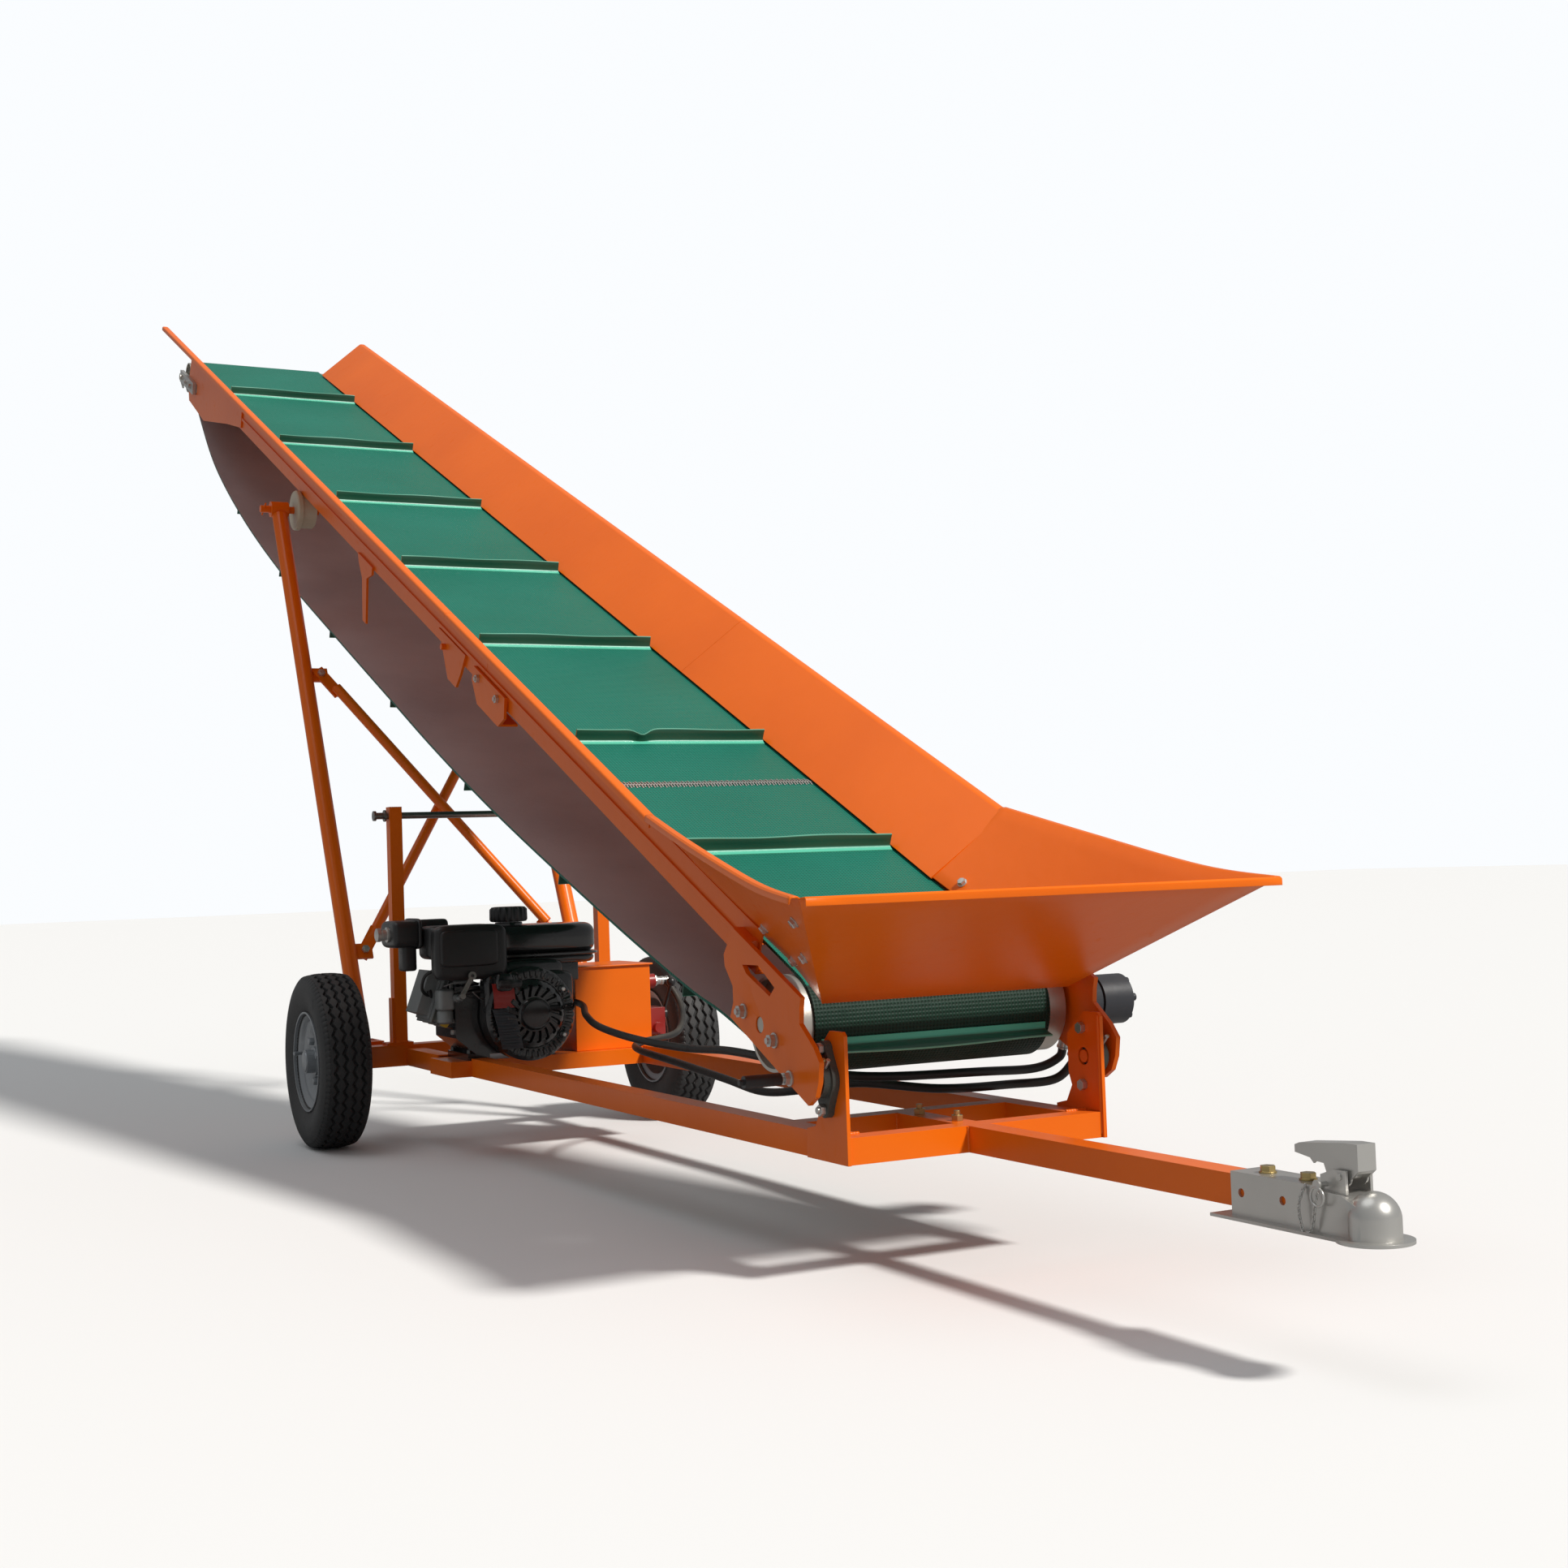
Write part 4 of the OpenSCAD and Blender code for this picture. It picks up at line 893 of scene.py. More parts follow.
@dataclass
class Wheels:
    """Two pneumatic tyres with zigzag grooves on painted disc rims. Sizes in millimetres."""

    radius: float = 204.0
    half: float = 58.0
    track: float = 438.0
    axle: tuple[float, float] = (2132.0, 24.0)
    waves: int = 44
    groove: float = 6.5

    def tyre(self) -> tuple[Array, list]:
        """A tyre: a section turned round the axle, grooved where a zigzag passes.

        The tread radius is the crown less the groove depth times a smooth step of the distance
        from the nearest zigzag, and the zigzag is a triangle wave of the angle.
        """
        u = np.linspace(0, 1, 113)
        side = np.linspace(0, 1, 20)[:, None]
        wall = np.concatenate([[108, 122, 150, 172, 188, 196, 199]])
        wall_x = np.concatenate([[43, 50, self.half - 1, self.half, self.half - 4, 49, 46]])
        wr = np.interp(side[:, 0], np.linspace(0, 1, 7), wall)
        wx = np.interp(side[:, 0], np.linspace(0, 1, 7), wall_x)
        x = np.concatenate([-wx, (u * 2 - 1)[1:-1] * 45, wx[::-1]])
        r = np.concatenate([wr, self.radius - 5.0 * np.abs(u[1:-1] * 2 - 1) ** 2.4, wr[::-1]])
        tread = np.concatenate([np.zeros(20), np.ones(111), np.zeros(20)])
        a = np.linspace(0, 2 * np.pi, 352, endpoint=False)[:, None]
        turn = a * self.waves / (2 * np.pi)
        zig = 4.0 * (2 * np.abs(2 * (turn - np.floor(turn + 0.5))) - 1)
        depth = np.zeros((352, len(x)))
        for k, centre in enumerate((-31.0, -10.5, 10.5, 31.0)):
            away = np.abs(x[None] - centre - zig * (1 if k % 2 else -1))
            depth = np.maximum(depth, np.clip((3.4 - away) / 1.2, 0, 1))
        lug = np.abs(np.abs(x[None]) - 48.5) < 4.5
        shoulder = 2.2 * lug * (np.sin(turn * 2 * np.pi * 2) > 0.2)
        rib = 0.8 * np.exp(-(((r[None] - 160) / 2.2) ** 2)) * (1 - tread[None])
        radial = r[None] - self.groove * depth * tread[None] - shoulder
        sideways = x[None] + np.sign(x[None]) * rib
        y = self.axle[0] + radial * np.cos(a)
        z = self.axle[1] + radial * np.sin(a)
        grid = np.stack([np.broadcast_to(sideways, y.shape) + self.track, y, z], axis=-1)
        inner = np.stack([np.array([x[-1], x[0]])[None] + self.track + 0 * a,
                          self.axle[0] + 107.5 * np.cos(a) + 0 * np.ones((1, 2)),
                          self.axle[1] + 107.5 * np.sin(a) + 0 * np.ones((1, 2))], axis=-1)
        grid = np.concatenate([grid, inner], axis=1)
        n, m = grid.shape[:2]
        return on_chassis(grid).reshape(-1, 3), grid_faces(n, m, True, True).tolist()

    def rim_details(self) -> tuple[Array, list]:
        """Wheel nuts, the hub cap's dome and the tyre valve."""
        centre = np.array([self.track, *self.axle])
        parts = [lathe(
            [(36, 27), (50, 26.5), (56, 23), (58, 14), (58.5, 2)],
            on_chassis(centre), (1, 0, 0), 40,
        )]
        for k in range(4):
            a = math.radians(90 * k + 20)
            nut = centre + [28, 48 * math.sin(a), 48 * math.cos(a)]
            parts.append(hexagon_head(on_chassis(nut), (1, 0, 0), 17, 12))
        valve = centre + [34, 84, 14]
        parts.append(lathe(
            [(0, 4), (16, 3.6), (17, 5), (26, 5), (27, 3)],
            on_chassis(valve), (1, -0.2, 0), 16,
        ))
        return gather(parts)

    def build(self, shop: Shop) -> None:
        """Makes both tyres and dresses both rims."""
        tyre = self.tyre()
        details = self.rim_details()
        for side, part, more in (("right", tyre, details), ("left", mirrored(tyre), mirrored(details))):
            body = "wheel_" + side
            shop.place(new_object(f"tyre_{side}_tread", *part, sharp=28), TYRE, body, ["tyre_" + side])
            shop.shaped("rim_" + side, WHEEL, 0.8)
            shop.place(new_object(f"hub_{side}", *more), WHEEL, body, slot="wheel paint")


# ---------------------------------------------------------------- engine


@dataclass
class Engine:
    """A small engine with recoil starter, tank, air cleaner and pump. Chassis millimetres."""

    shaft: tuple[float, float] = (-105.0, 135.0)
    fan_r: float = 104.0
    fan_front: float = 1652.0

    def dished(self, name: str, radius: float, front: float, back: float, shape) -> tuple[Array, list]:
        """A round cover seen from the front: its depth is a function of radius and angle.

        Args:
            name: used only in messages.
            radius: outer radius.
            front: Y of the rim of the face.
            back: Y of the back edge.
            shape: function of (share of the radius, angle) giving depth towards the front.
        """
        share = np.linspace(0.02, 1, 42)[:, None]
        a = np.linspace(0, 2 * np.pi, 288, endpoint=False)[None, :]
        y = front - shape(share, a)
        x = self.shaft[0] + radius * share * np.cos(a)
        z = self.shaft[1] + radius * share * np.sin(a)
        grid = np.stack([x + 0 * y, y + 0 * x, z + 0 * y], axis=-1)
        rim = grid[-1:].copy()
        rim[..., 1] = front + 6
        end = rim.copy()
        end[..., 1] = back
        LOG.debug("dished cover %s", name)
        return rings(on_chassis(np.concatenate([grid, rim, end])))

    def fan_housing(self, shop: Shop) -> None:
        """Fan housing with radial ribs round the starter, and the panels above and beside it."""
        def ribs(share: Array, a: Array) -> Array:
            """Rounded rim, with a rib wherever the cosine of forty turns is high."""
            edge = 7 * np.clip((1 - share) / 0.08, 0, 1) ** 0.5
            band = np.clip((share - 0.77) / 0.02, 0, 1) * np.clip((0.95 - share) / 0.02, 0, 1)
            return edge + 2.6 * band * np.clip(np.cos(40 * a) * 3, 0, 1) - 4.0
        parts = [self.dished("housing", self.fan_r, self.fan_front, 1700, ribs)]
        parts.append(cushion((-209, 1656, 140), (-1, 1702, 228), 10, 6, axis=1))
        parts.append(cushion((-160, 1672, 205), (-20, 1700, 252), 8, 5, axis=1))
        pin = lathe([(0, 3), (17, 3)], on_chassis((-240, 1662, 226)), (0, -1, 0), 16)
        nut = hexagon_head(on_chassis((-240, 1647, 226)), (0, -1, 0), 6.2, 3)
        shop.place(
            new_object("fan_housing", *gather(parts + [pin, nut]), sharp=30),
            BLACK, "chassis", ["engine_shroud"],
        )
        cover = [cushion((-318, 1660, 216), (-152, 1704, 337), 12, 7, axis=1),
                 cushion((-308, 1655, 246), (-176, 1668, 326), 5, 8, axis=1),
                 cushion((-318, 1700, 262), (-165, 1800, 336), 14, 6, axis=2)]
        shop.place(
            new_object("engine_panels", *gather(cover), sharp=40),
            BLACK_PLASTIC, "chassis", slot="black plastic",
        )

    def starter(self, shop: Shop) -> None:
        """Recoil starter cover with slanted slots, a smooth centre boss and its screws."""
        def slots(share: Array, a: Array) -> Array:
            """A dome, cut by a slot wherever the cosine of the swirled angle is high."""
            dome = 20 * np.clip((1 - share) / 0.22, 0, 1) ** 0.6 + 9 * np.clip((0.46 - share) / 0.06, 0, 1)
            band = np.clip((share - 0.5) / 0.03, 0, 1) * np.clip((0.82 - share) / 0.03, 0, 1)
            return dome - 9 * band * np.clip(np.cos(18 * (a + 0.5 * share)) * 3 - 0.6, 0, 1)
        parts = [self.dished("starter", 78, 1651, 1656, slots)]
        for degrees in (35, 145, 215, 325):
            a = math.radians(degrees)
            at = (self.shaft[0] + 88 * math.cos(a), 1651, self.shaft[1] + 88 * math.sin(a))
            parts.append(lathe([(0, 9), (6, 9), (8, 6)], on_chassis(at), (0, -1, 0), 20))
        parts.append(cushion((-192, 1628, 188), (-153, 1654, 228), 6, 4, axis=1))
        shop.place(new_object("starter_cover", *gather(parts), sharp=26), BLACK, "chassis", ["recoil_cover"])
        screws = []
        for degrees in (35, 145, 215, 325):
            a = math.radians(degrees)
            at = (self.shaft[0] + 88 * math.cos(a), 1643, self.shaft[1] + 88 * math.sin(a))
            screws.append(hexagon_head(on_chassis(at), (0, -1, 0), 8, 4))
        shop.place(new_object("starter_screws", *gather(screws)), ZINC, "chassis", slot="zinc plate")

    def guard(self, shop: Shop) -> None:
        """A plain red plate and a grey ribbed plate beside the starter."""
        def plate(z0: float, z1: float, slope: float, ribs: int) -> tuple[Array, list]:
            """A strip bent round the housing, thicker where the sine across it is high."""
            t = np.linspace(0, 1, 40)[:, None]
            x = np.linspace(-24, 24, 9)[None, :]
            wave = 2.2 * np.clip(np.sin(t * ribs * 2 * np.pi) * 2, 0, 1) * (np.abs(x) < 20)
            y = 1640 - 9 * np.sin(np.pi * (0.2 + 0.6 * t)) - wave + 0 * x
            z = z0 + (z1 - z0) * t + 0 * x
            grid = np.stack([-176 + x + slope * t * 20, y, z], axis=-1)
            back = grid[:, ::-1] + [0, 4, 0]
            return rings(on_chassis(np.concatenate([grid, back], axis=1)))
        red, grey = plate(206, 152, 0.2, 0), plate(150, 62, 1.0, 7)
        shop.place(new_object("guard_upper", *red), RED, "chassis", slot="valve red")
        shop.place(new_object("guard_lower", *grey), MOTOR, "chassis", slot="black paint")

    def tank(self, shop: Shop) -> None:
        """Pressed fuel tank: two rounded halves with a seam flange, on two straps."""
        upper = cushion((-190, 1688, 262), (84, 1862, 330), 22, 3.6, axis=2, steps=9)
        lower = cushion((-188, 1690, 240), (82, 1860, 262), 12, 3.6, axis=2)
        seam = loft([
            (258, -53, 1775, 139, 89), (260, -53, 1775, 142, 92),
            (264, -53, 1775, 142, 92), (266, -53, 1775, 139, 89),
        ], 3.8)
        neck = lathe([(0, 31), (9, 31), (12, 30)], on_chassis((-117, 1752, 325)), (0, 0, 1))
        feet = [
            cushion((-140, 1702, 200), (30, 1722, 244), 4, 8),
            cushion((-140, 1800, 200), (30, 1840, 244), 4, 8),
        ]
        obj = new_object("fuel_tank_shell", *gather([upper, lower, seam, neck, *feet]), sharp=45)
        shop.place(obj, BLACK, "chassis", ["fuel_tank"])
        a = np.linspace(0, 2 * np.pi, 144, endpoint=False)
        levels = [(338, 36), (339, 39.5), (343, 41), (366, 40.5), (371, 37), (372, 30), (372, 2)]
        grid = np.empty((len(levels), 144, 3))
        for k, (z, r) in enumerate(levels):
            grip = 1.6 * np.clip(np.cos(18 * a) * 2, -1, 1) * (1 if 1 < k < 4 else 0.25)
            rr = r + grip * (r > 10)
            grid[k] = np.stack([-117 + rr * np.cos(a), 1752 + rr * np.sin(a), np.full(144, z)], axis=1)
        shop.place(
            new_object("fuel_cap_grip", *rings(on_chassis(grid)), sharp=40),
            BLACK_PLASTIC, "fuel_cap", ["fuel_cap"],
        )

    def air_cleaner(self, shop: Shop) -> None:
        """Air cleaner box with a lipped cover and a bright knob, on its elbow."""
        parts = [cushion((-385, 1742, 290), (-324, 1852, 350), 10, 5, axis=0),
                 cushion((-330, 1738, 286), (-322, 1856, 354), 3, 6, axis=0),
                 cushion((-326, 1802, 290), (-240, 1852, 350), 8, 5, axis=0),
                 cushion((-362, 1758, 238), (-328, 1802, 296), 6, 4)]
        shop.place(
            new_object("air_cleaner_box", *gather(parts), sharp=40),
            BLACK_PLASTIC, "chassis", ["air_cleaner"],
        )
        knob = lathe([(0, 17), (4, 17), (5, 12), (14, 12), (18, 15), (26, 15), (28, 11), (28.5, 2)],
                     on_chassis((-385, 1790, 320)), (-1, 0, 0), 36)
        shop.place(new_object("air_cleaner_knob", *knob), ZINC, "chassis", slot="zinc plate")

    def carburettor(self, shop: Shop) -> None:
        """Carburettor bowl and body, fuel tap, plug lead, governor rods and return spring."""
        metal = [cushion((-300, 1700, 150), (-262, 1742, 196), 6, 4),
                 lathe([(0, 15), (4, 18), (26, 18), (30, 14), (31, 3)],
                       on_chassis((-281, 1721, 150)), (0, 0, -1), 28),
                 lathe([(0, 9), (10, 9), (11, 6), (22, 6)], on_chassis((-262, 1706, 176)), (0.4, -1, 0), 20)]
        rods = [[(-292, 1692, 204), (-260, 1686, 214), (-236, 1684, 222)],
                [(-240, 1650, 190), (-220, 1668, 176), (-204, 1690, 170), (-198, 1702, 166)]]
        metal += [tube(on_chassis(smooth_path(r, 6)), 1.6 * MM, 8) for r in rods]
        turns = np.linspace(0, 18 * 2 * np.pi, 18 * 12)
        coil = np.stack([
            -228 - 46 * turns / turns[-1],
            1680 + 3.2 * np.cos(turns),
            212 + 3.2 * np.sin(turns),
        ], 1)
        metal.append(tube(on_chassis(coil), 0.7 * MM, 5))
        shop.place(
            new_object("carburettor", *gather(metal), sharp=40),
            ALUMINIUM, "chassis", slot="cast aluminium",
        )
        lead = [(-300, 1770, 178), (-322, 1752, 196), (-322, 1730, 226), (-300, 1712, 240), (-262, 1706, 232)]
        fuel = [
            (-60, 1700, 240), (-58, 1688, 222), (-90, 1680, 206),
            (-140, 1680, 196), (-200, 1690, 190), (-262, 1704, 182),
        ]
        boots = [tube(on_chassis(smooth_path(lead, 8)), 3.6 * MM, 12),
                 tube(on_chassis(smooth_path(fuel, 8)), 4.0 * MM, 12),
                 lathe([(0, 7), (20, 7.5), (24, 6)], on_chassis((-296, 1772, 172)), (-0.3, -0.2, 0.9), 20)]
        shop.place(new_object("engine_leads", *gather(boots)), HOSE, "chassis", slot="hose rubber")

    def block(self, shop: Shop) -> None:
        """Crankcase with cooling fins and flange bolts, and the cylinder head."""
        shop.shaped("engine_block", BLACK, 2.0)
        shop.shaped("cylinder_head", ALUMINIUM, 1.5)
        parts = []
        for k in range(6):
            a = math.radians(60 * k + 15)
            at = (self.shaft[0] + 46 * math.cos(a), 1872, self.shaft[1] + 46 * math.sin(a))
            parts.append(hexagon_head(on_chassis(at), (0, 1, 0), 12, 7))
        for z in (70, 96, 170):
            parts.append(hexagon_head(on_chassis((-262, 1724, z + 30)), (-1, 0, 0), 10, 6))
        shop.place(new_object("crankcase_bolts", *gather(parts)), ZINC, "chassis", slot="zinc plate")

    def handle(self, shop: Shop) -> None:
        """Recoil grip: a waisted bar with its cord end."""
        x = np.linspace(-26, 26, 17)
        radius = (
            (8.2 + 1.6 * np.cos(x / 26 * np.pi) ** 2)
            * np.sqrt(np.clip(1 - (np.abs(x) / 27) ** 8, 0.05, 1))
        )
        path = np.stack([x - 172, 1600 - 4 * np.cos(x / 26 * np.pi / 2), np.full(17, 206.0)], axis=1)
        grip = tube(on_chassis(path), radius * MM, 20)
        stem = lathe([(0, 7.5), (12, 6.5), (14, 3), (23, 3)], on_chassis((-172, 1604, 206)), (0, 1, 0), 20)
        shop.place(
            new_object("starter_grip", *gather([grip, stem])),
            BLACK_PLASTIC, "recoil_handle", ["recoil_handle"],
        )

    def small_parts(self, shop: Shop) -> None:
        """Dipstick cap, throttle and pump."""
        axis = np.array([-0.906308, 0.0, 0.422618])
        base = on_chassis((-262, 1736, 120)) + axis * 8.4 * MM
        cap = lathe([(0, 14.6), (2, 15), (12, 15), (15, 13), (16, 9), (23, 8.5), (24, 3)], base, axis, 32)
        wing = lathe([(14, 4), (24, 10), (26, 4)], base, axis, 4)
        shop.place(new_object("oil_cap_wing", *gather([cap, wing])), YELLOW, "oil_cap", ["oil_cap"])
        shop.shaped("throttle_lever", BARE, 0.6)
        shop.shaped("hydraulic_pump", MOTOR, 2.0)

    def build(self, shop: Shop) -> None:
        """Makes the engine from its parts."""
        for make in (self.fan_housing, self.starter, self.guard, self.tank, self.air_cleaner,
                     self.carburettor, self.block, self.handle, self.small_parts):
            make(shop)


# ---------------------------------------------------------------- hoses and fittings


@dataclass
class Hydraulics:
    """Hoses with crimped ends, tank fittings, valve and belt motor. Chassis millimetres."""

    hose_r: float = 7.5
    pressure: tuple = ((-42, 1985, 147), (-30, 1985, 147), (-10, 1984, 147), (13, 1945, 145),
                       (14, 1880, 150), (14, 1726, 152), (12, 1640, 146), (-36, 1500, 134),
                       (-86, 1300, 123), (-90, 1100, 110), (-66, 920, 102), (-80, 700, 112),
                       (-82, 480, 108), (-70, 330, 98), (0, 272, 92), (180, 272, 86),
                       (285, 268, 84), (326, 254, 100), (330, 245.8, 119.5),
                       (330, 239.5, 133.1), (330, 233.3, 146.7))
    back: tuple = ((257.2, 1800, 182), (265, 1800, 182), (273, 1800, 182), (290, 1790, 173),
                   (298, 1740, 120), (250, 1660, 70), (120, 1560, 62), (40, 1400, 62),
                   (20, 1150, 52), (5, 900, 40), (0, 731, 30), (5, 585, 44), (26, 420, 68),
                   (120, 306, 60), (250, 290, 58), (312, 252, 64), (330, 224, 90),
                   (330, 216.6, 107.5), (330, 210.3, 121.1), (330, 204.1, 134.7))

    def hose(self, shop: Shop, name: str, node: str, route: Sequence) -> None:
        """One hose: a round tube on its route."""
        path = on_chassis(smooth_path(route, 10))
        obj = new_object(name, *tube(path, self.hose_r * MM, 24))
        obj.data.materials.append(shop.material(HOSE))
        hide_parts(node)
        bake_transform(obj)
        LOG.info("piece %s blends chassis and conveyor", name)

    def fittings(self, shop: Shop) -> None:
        """Crimped ferrules and nuts at the hose ends."""
        ferrule = [(0, 7.8), (1, 10), (6, 10), (7, 9), (12, 9), (13, 10), (18, 10), (19, 9), (26, 9),
                   (27, 10.2), (30, 10.2), (31, 7.8)]
        fixed, moving = [], []
        for route in (self.pressure, self.back):
            a, b = np.array(route[0], float), np.array(route[1], float)
            way = (b - a) / np.linalg.norm(b - a)
            fixed.append(lathe(ferrule, on_chassis(a + way * 4), way, 28))
            fixed.append(hexagon_head(on_chassis(a - way * 6), way, 24, 11))
            a, b = np.array(route[-1], float), np.array(route[-2], float)
            way = (b - a) / np.linalg.norm(b - a)
            moving.append(lathe(ferrule, on_chassis(a + way * 2), way, 28))
        shop.place(new_object("hose_ends", *gather(fixed)), ZINC, "chassis", slot="zinc plate")
        shop.place(new_object("motor_hose_ends", *gather(moving)), ZINC, "conveyor", slot="zinc plate")

    def build(self, shop: Shop) -> None:
        """Makes the hoses and dresses the hydraulic parts."""
        self.hose(shop, "pressure_hose_tube", "pressure_hose", self.pressure)
        self.hose(shop, "return_hose_tube", "return_hose", self.back)
        self.fittings(shop)
        for node, finish, width in (("oil_tank", ORANGE, 1.5), ("tank_breather", ZINC, 1.5),
                                    ("valve_block", RED, 1.5), ("valve_lever", BLACK_PLASTIC, 0.6),
                                    ("hydraulic_motor", MOTOR, 1.5)):
            shop.shaped(node, finish, width)


# ---------------------------------------------------------------- frame parts


@dataclass
class FrameWork:
    """Painted frame, lift legs and bought-in hardware, with their edges rounded."""

    painted: tuple[str, ...] = ("main_frame", "pivot_plates", "support_posts", "drawbar",
                                "leg_left", "leg_right", "cross_braces", "rails_lower",
                                "rails_upper", "belt_bed", "splice_brackets", "rail_brackets",
                                "tail_arms", "head_plates")
    plated: tuple[str, ...] = ("coupler_body", "coupler_latch", "safety_pin", "bearing_bolts",
                               "brace_bolts", "arm_bolts")

    def welds(self, shop: Shop) -> None:
        """Weld beads: thin rippled tubes along the joints of the chassis."""
        lines = []
        for x in (-226, -186, 186, 226):
            lines.append([(x, 40.5, 1.0), (x, 40.5, 39.0)])
        for side in (-1, 1):
            lines.append([(side * 20.5, 0.0, 1), (side * 20.5, 0.0, 39)])
            lines.append([(side * 187, 40.5, 40), (side * 225, 40.5, 40)])
            lines.append([(side * 226.5, 1, 190), (side * 226.5, 1, 6)])
            lines.append([(side * 20.5, 212, 40), (side * 20.5, 212, 2)])
            lines += [[(side * 248, y, 55.5), (side * 278, y, 55.5)] for y in (2116.5, 2147.5)]
            lines.append([(side * 215, 2106.5, 40), (side * 215, 2106.5, 2)])
        parts = []
        for a, b in lines:
            t = np.linspace(0, 1, 40)[:, None]
            path = np.array(a, float) * (1 - t) + np.array(b, float) * t
            ripple = (2.6 + 0.5 * np.abs(np.sin(t[:, 0] * np.linalg.norm(np.subtract(b, a)) / 1.6))) * MM
            parts.append(tube(on_chassis(path), ripple, 8))
        shop.place(new_object("weld_beads", *gather(parts), sharp=80), ORANGE, "chassis", slot="orange paint")

    def nipples(self, shop: Shop) -> None:
        """Grease nipples on the pivot bearings."""
        parts = []
        for side in (-1, 1):
            at = on_chassis((side * 250, 24, 148))
            parts.append(lathe(
                [(0, 4.5), (6, 4.5), (7, 3), (11, 3), (13, 3.8), (15, 2.4)],
                at, (side * 0.5, -0.7, 0.6), 16,
            ))
        shop.place(new_object("grease_nipples", *gather(parts)), YELLOW_ZINC, "chassis", slot="yellow zinc")

    def chain(self, shop: Shop) -> None:
        """A short loop of small chain that hangs from the coupler's pin.

        The links lie along a hanging curve and every second one is turned a quarter.
        """
        way = smooth_path([(-34, -776, 42), (-35, -770, 22), (-33, -762, -4), (-33, -750, -12),
                           (-33, -743, -2), (-33, -741, 22), (-25.5, -745, 44)], 12)
        walked = np.concatenate([[0], np.cumsum(np.linalg.norm(np.diff(way, axis=0), axis=1))])
        a = np.linspace(0, 2 * np.pi, 13)[:-1]
        parts = []
        for k, at in enumerate(np.arange(2.0, walked[-1] - 2, 4.6)):
            here, ahead = (np.array([np.interp(at + d, walked, way[:, i]) for i in range(3)])
                           for d in (0.0, 0.5))
            along = (ahead - here) / np.linalg.norm(ahead - here)
            across = np.cross(along, (1, 0, 0) if k % 2 else (0, 0.6, 0.8))
            across /= np.linalg.norm(across)
            loop = here + 3.6 * np.cos(a)[:, None] * along + 2.1 * np.sin(a)[:, None] * across
            parts.append(tube(on_chassis(np.concatenate([loop, loop[:1]])), 0.75 * MM, 6))
        shop.place(new_object("pin_chain", *gather(parts), sharp=60), ZINC, "chassis",
                   slot="zinc plate")

    def build(self, shop: Shop) -> None:
        """Dresses every frame part."""
        for node in self.painted:
            shop.shaped(node, ORANGE, 1.0)
        for node in self.plated:
            shop.shaped(node, ZINC, 0.7)
        for node, finish, width in (("post_rod", BARE, 0.8), ("head_takeups", ZINC, 0.8),
                                    ("coupler_bolts", YELLOW_ZINC, 0.8), ("pivot_bearings", CASTING, 3.0),
                                    ("runner_left", NYLON, 1.0), ("runner_right", NYLON, 1.0),
                                    ("stop_peg", BLACK_PLASTIC, 1.0), ("tail_drum", ROLLER, 0.8),
                                    ("head_roller", ROLLER, 0.8)):
            shop.shaped(node, finish, width)
        self.welds(shop)
        self.nipples(shop)
        self.chain(shop)


# ---------------------------------------------------------------- studio


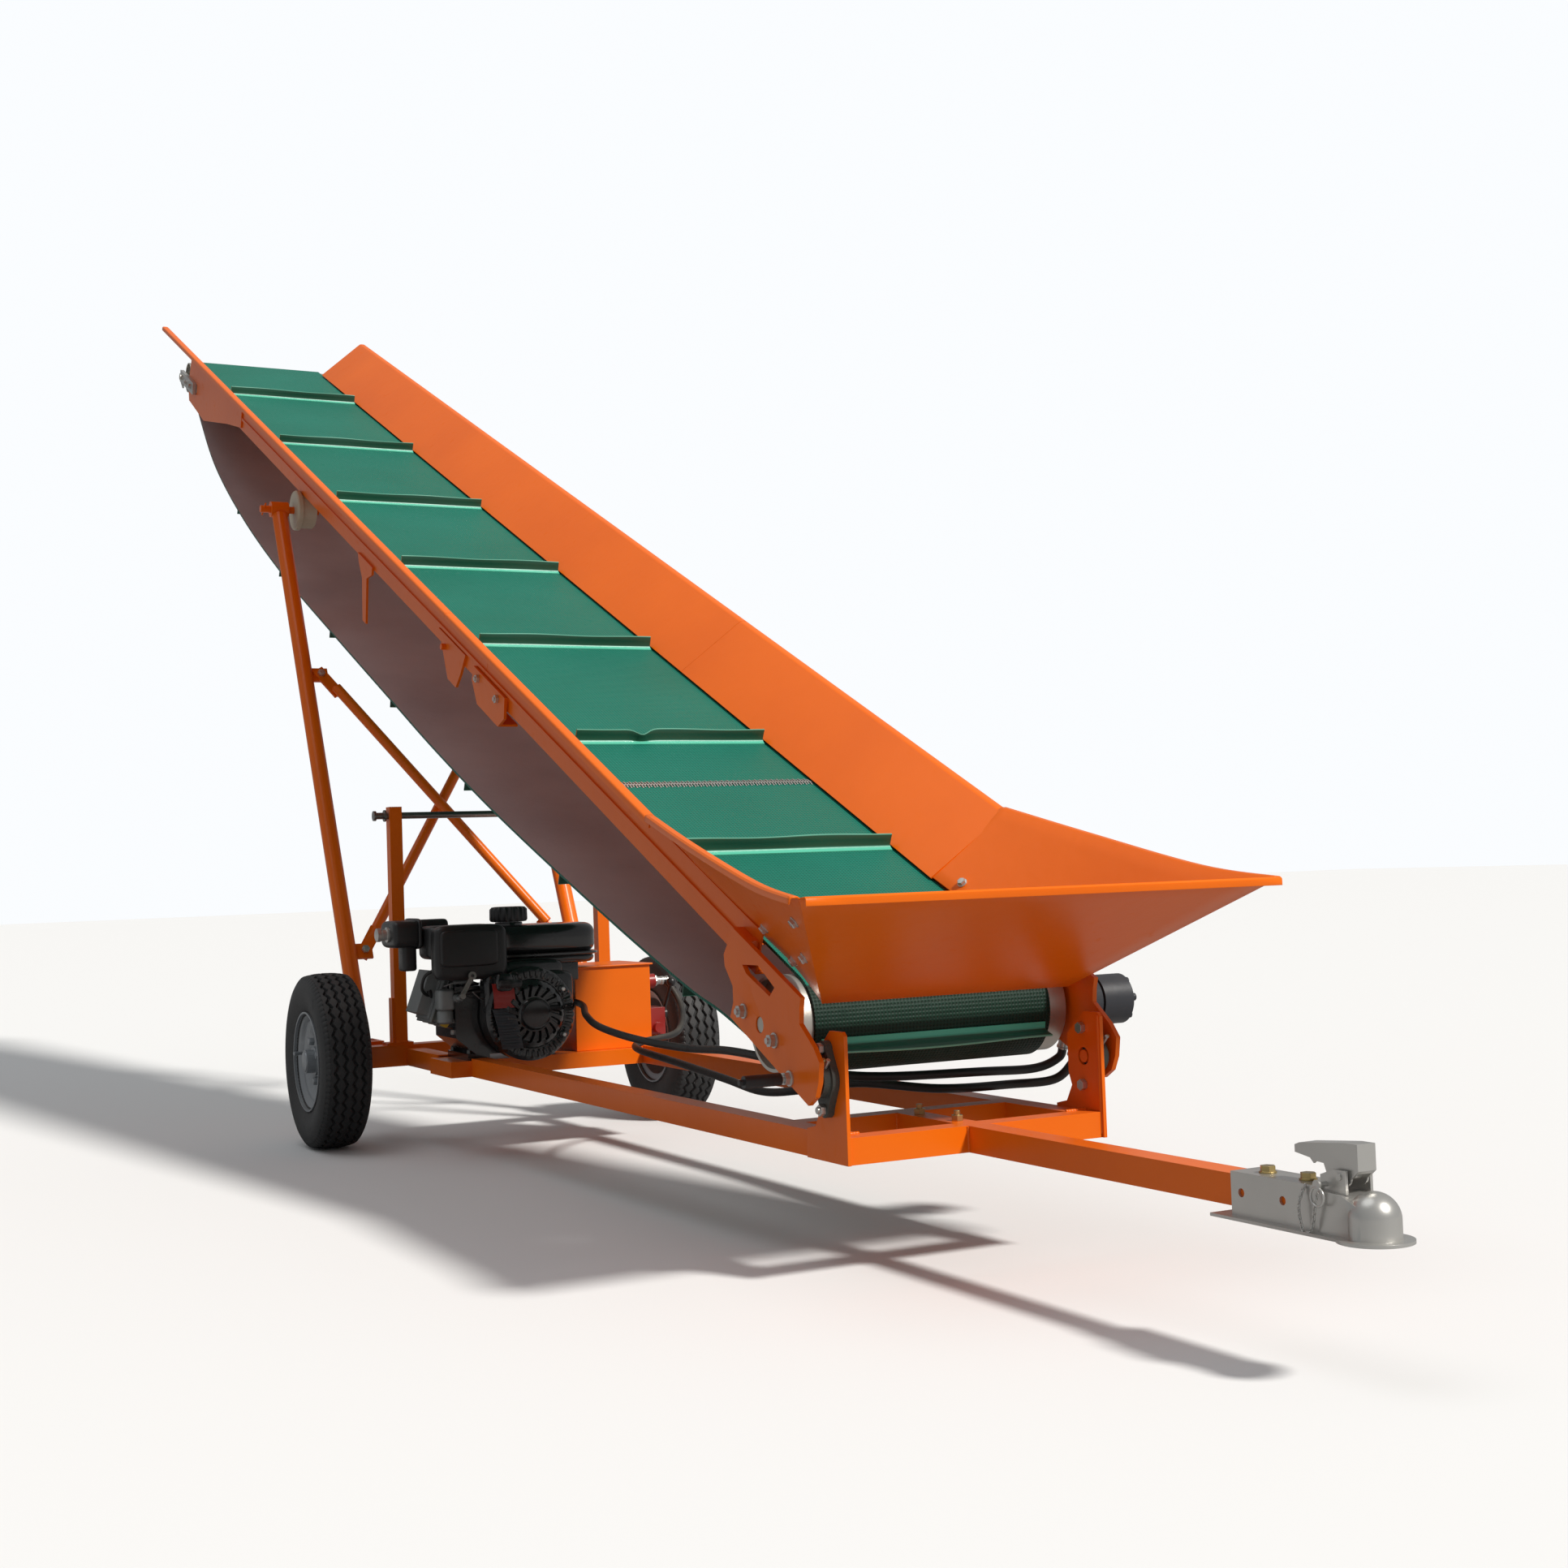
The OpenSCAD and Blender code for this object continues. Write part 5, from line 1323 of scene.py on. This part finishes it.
@dataclass
class Studio:
    """Floor, soft lights and camera."""

    eye: tuple[float, float, float] = (-1.6647, -4.4711, 0.6189)
    turn: float = -27.44
    tip: float = -2.36
    roll: float = -1.99
    lens: float = 46.41

    def camera(self) -> None:
        """A camera whose axes come from a turn about Z, a tip and a roll."""
        a, e, r = (math.radians(v) for v in (self.turn, self.tip, self.roll))
        flat = Vector((math.cos(a), math.sin(a), 0.0))
        ahead = Vector((-math.sin(a) * math.cos(e), math.cos(a) * math.cos(e), -math.sin(e)))
        over = flat.cross(ahead)
        right = math.cos(r) * flat + math.sin(r) * over
        up = -math.sin(r) * flat + math.cos(r) * over
        data = bpy.data.cameras.new("camera")
        data.lens, data.sensor_width, data.clip_end = self.lens, 36.0, 200.0
        obj = bpy.data.objects.new("camera", data)
        rows = Matrix((right, up, -ahead)).transposed().to_4x4()
        obj.matrix_world = Matrix.Translation(self.eye) @ rows
        bpy.context.scene.collection.objects.link(obj)
        bpy.context.scene.camera = obj

    def sun(self, name: str, place: Sequence, strength: float, spread: float,
            tint: Sequence) -> None:
        """An even light that comes from a direction, soft by its spread in degrees."""
        data = bpy.data.lights.new(name, "SUN")
        data.energy, data.color, data.angle = strength, tint, math.radians(spread)
        obj = bpy.data.objects.new(name, data)
        obj.location = place
        obj.rotation_euler = (-Vector(place)).to_track_quat("-Z", "Y").to_euler()
        bpy.context.scene.collection.objects.link(obj)

    def floor(self) -> None:
        """A pale floor that reaches past the view."""
        points = np.array([[-40, -40, 0], [40, -40, 0], [40, 40, 0], [-40, 40, 0]], float)
        mesh = bpy.data.meshes.new("floor")
        mesh.from_pydata(points.tolist(), [], [[0, 1, 2, 3]])
        obj = bpy.data.objects.new("floor", mesh)
        bpy.context.scene.collection.objects.link(obj)
        material = bpy.data.materials.new("pale_floor")
        material.use_nodes = True
        tree = material.node_tree
        shader = tree.nodes["Principled BSDF"]
        seen = tree.nodes.new("ShaderNodeLightPath").outputs["Is Camera Ray"]
        pale = Finish.mix(tree, (0.34, 0.34, 0.34), (0.84, 0.84, 0.84), seen)
        tree.links.new(pale, shader.inputs["Base Color"])
        shader.inputs["Roughness"].default_value = 0.9
        mesh.materials.append(material)

    def build(self) -> None:
        """Sets the camera, floor, lights and world."""
        self.camera()
        self.floor()
        self.sun("key", (3.0, -6.4, 7.0), 3.5, 7.0, (1.0, 0.97, 0.92))
        self.sun("fill", (-2.5, 1.5, 8.0), 0.35, 40.0, (0.95, 0.98, 1.0))
        world = bpy.data.worlds.new("studio")
        bpy.context.scene.world = world
        world.use_nodes = True
        tree = world.node_tree
        shade = tree.nodes["Background"]
        shade.inputs["Color"].default_value = (0.96, 0.98, 1.0, 1)
        seen = tree.nodes.new("ShaderNodeLightPath").outputs["Is Camera Ray"]
        tree.links.new(remap(tree, seen, 0, 1, 0.30, 1.0), shade.inputs["Strength"])
        bpy.context.scene.view_settings.view_transform = "Standard"


def main() -> None:
    """Builds every sub-assembly, then the studio, and reports what was made."""
    logging.basicConfig(level=logging.INFO, format="%(name)s: %(message)s")
    shop = Shop()
    for assembly in (FrameWork(), Trough(), Belt(), Wheels(), Engine(), Hydraulics()):
        assembly.build(shop)
    Studio().build()
    LOG.info("%d pieces in all", len(shop.pieces))


if __name__ == "__main__":
    main()
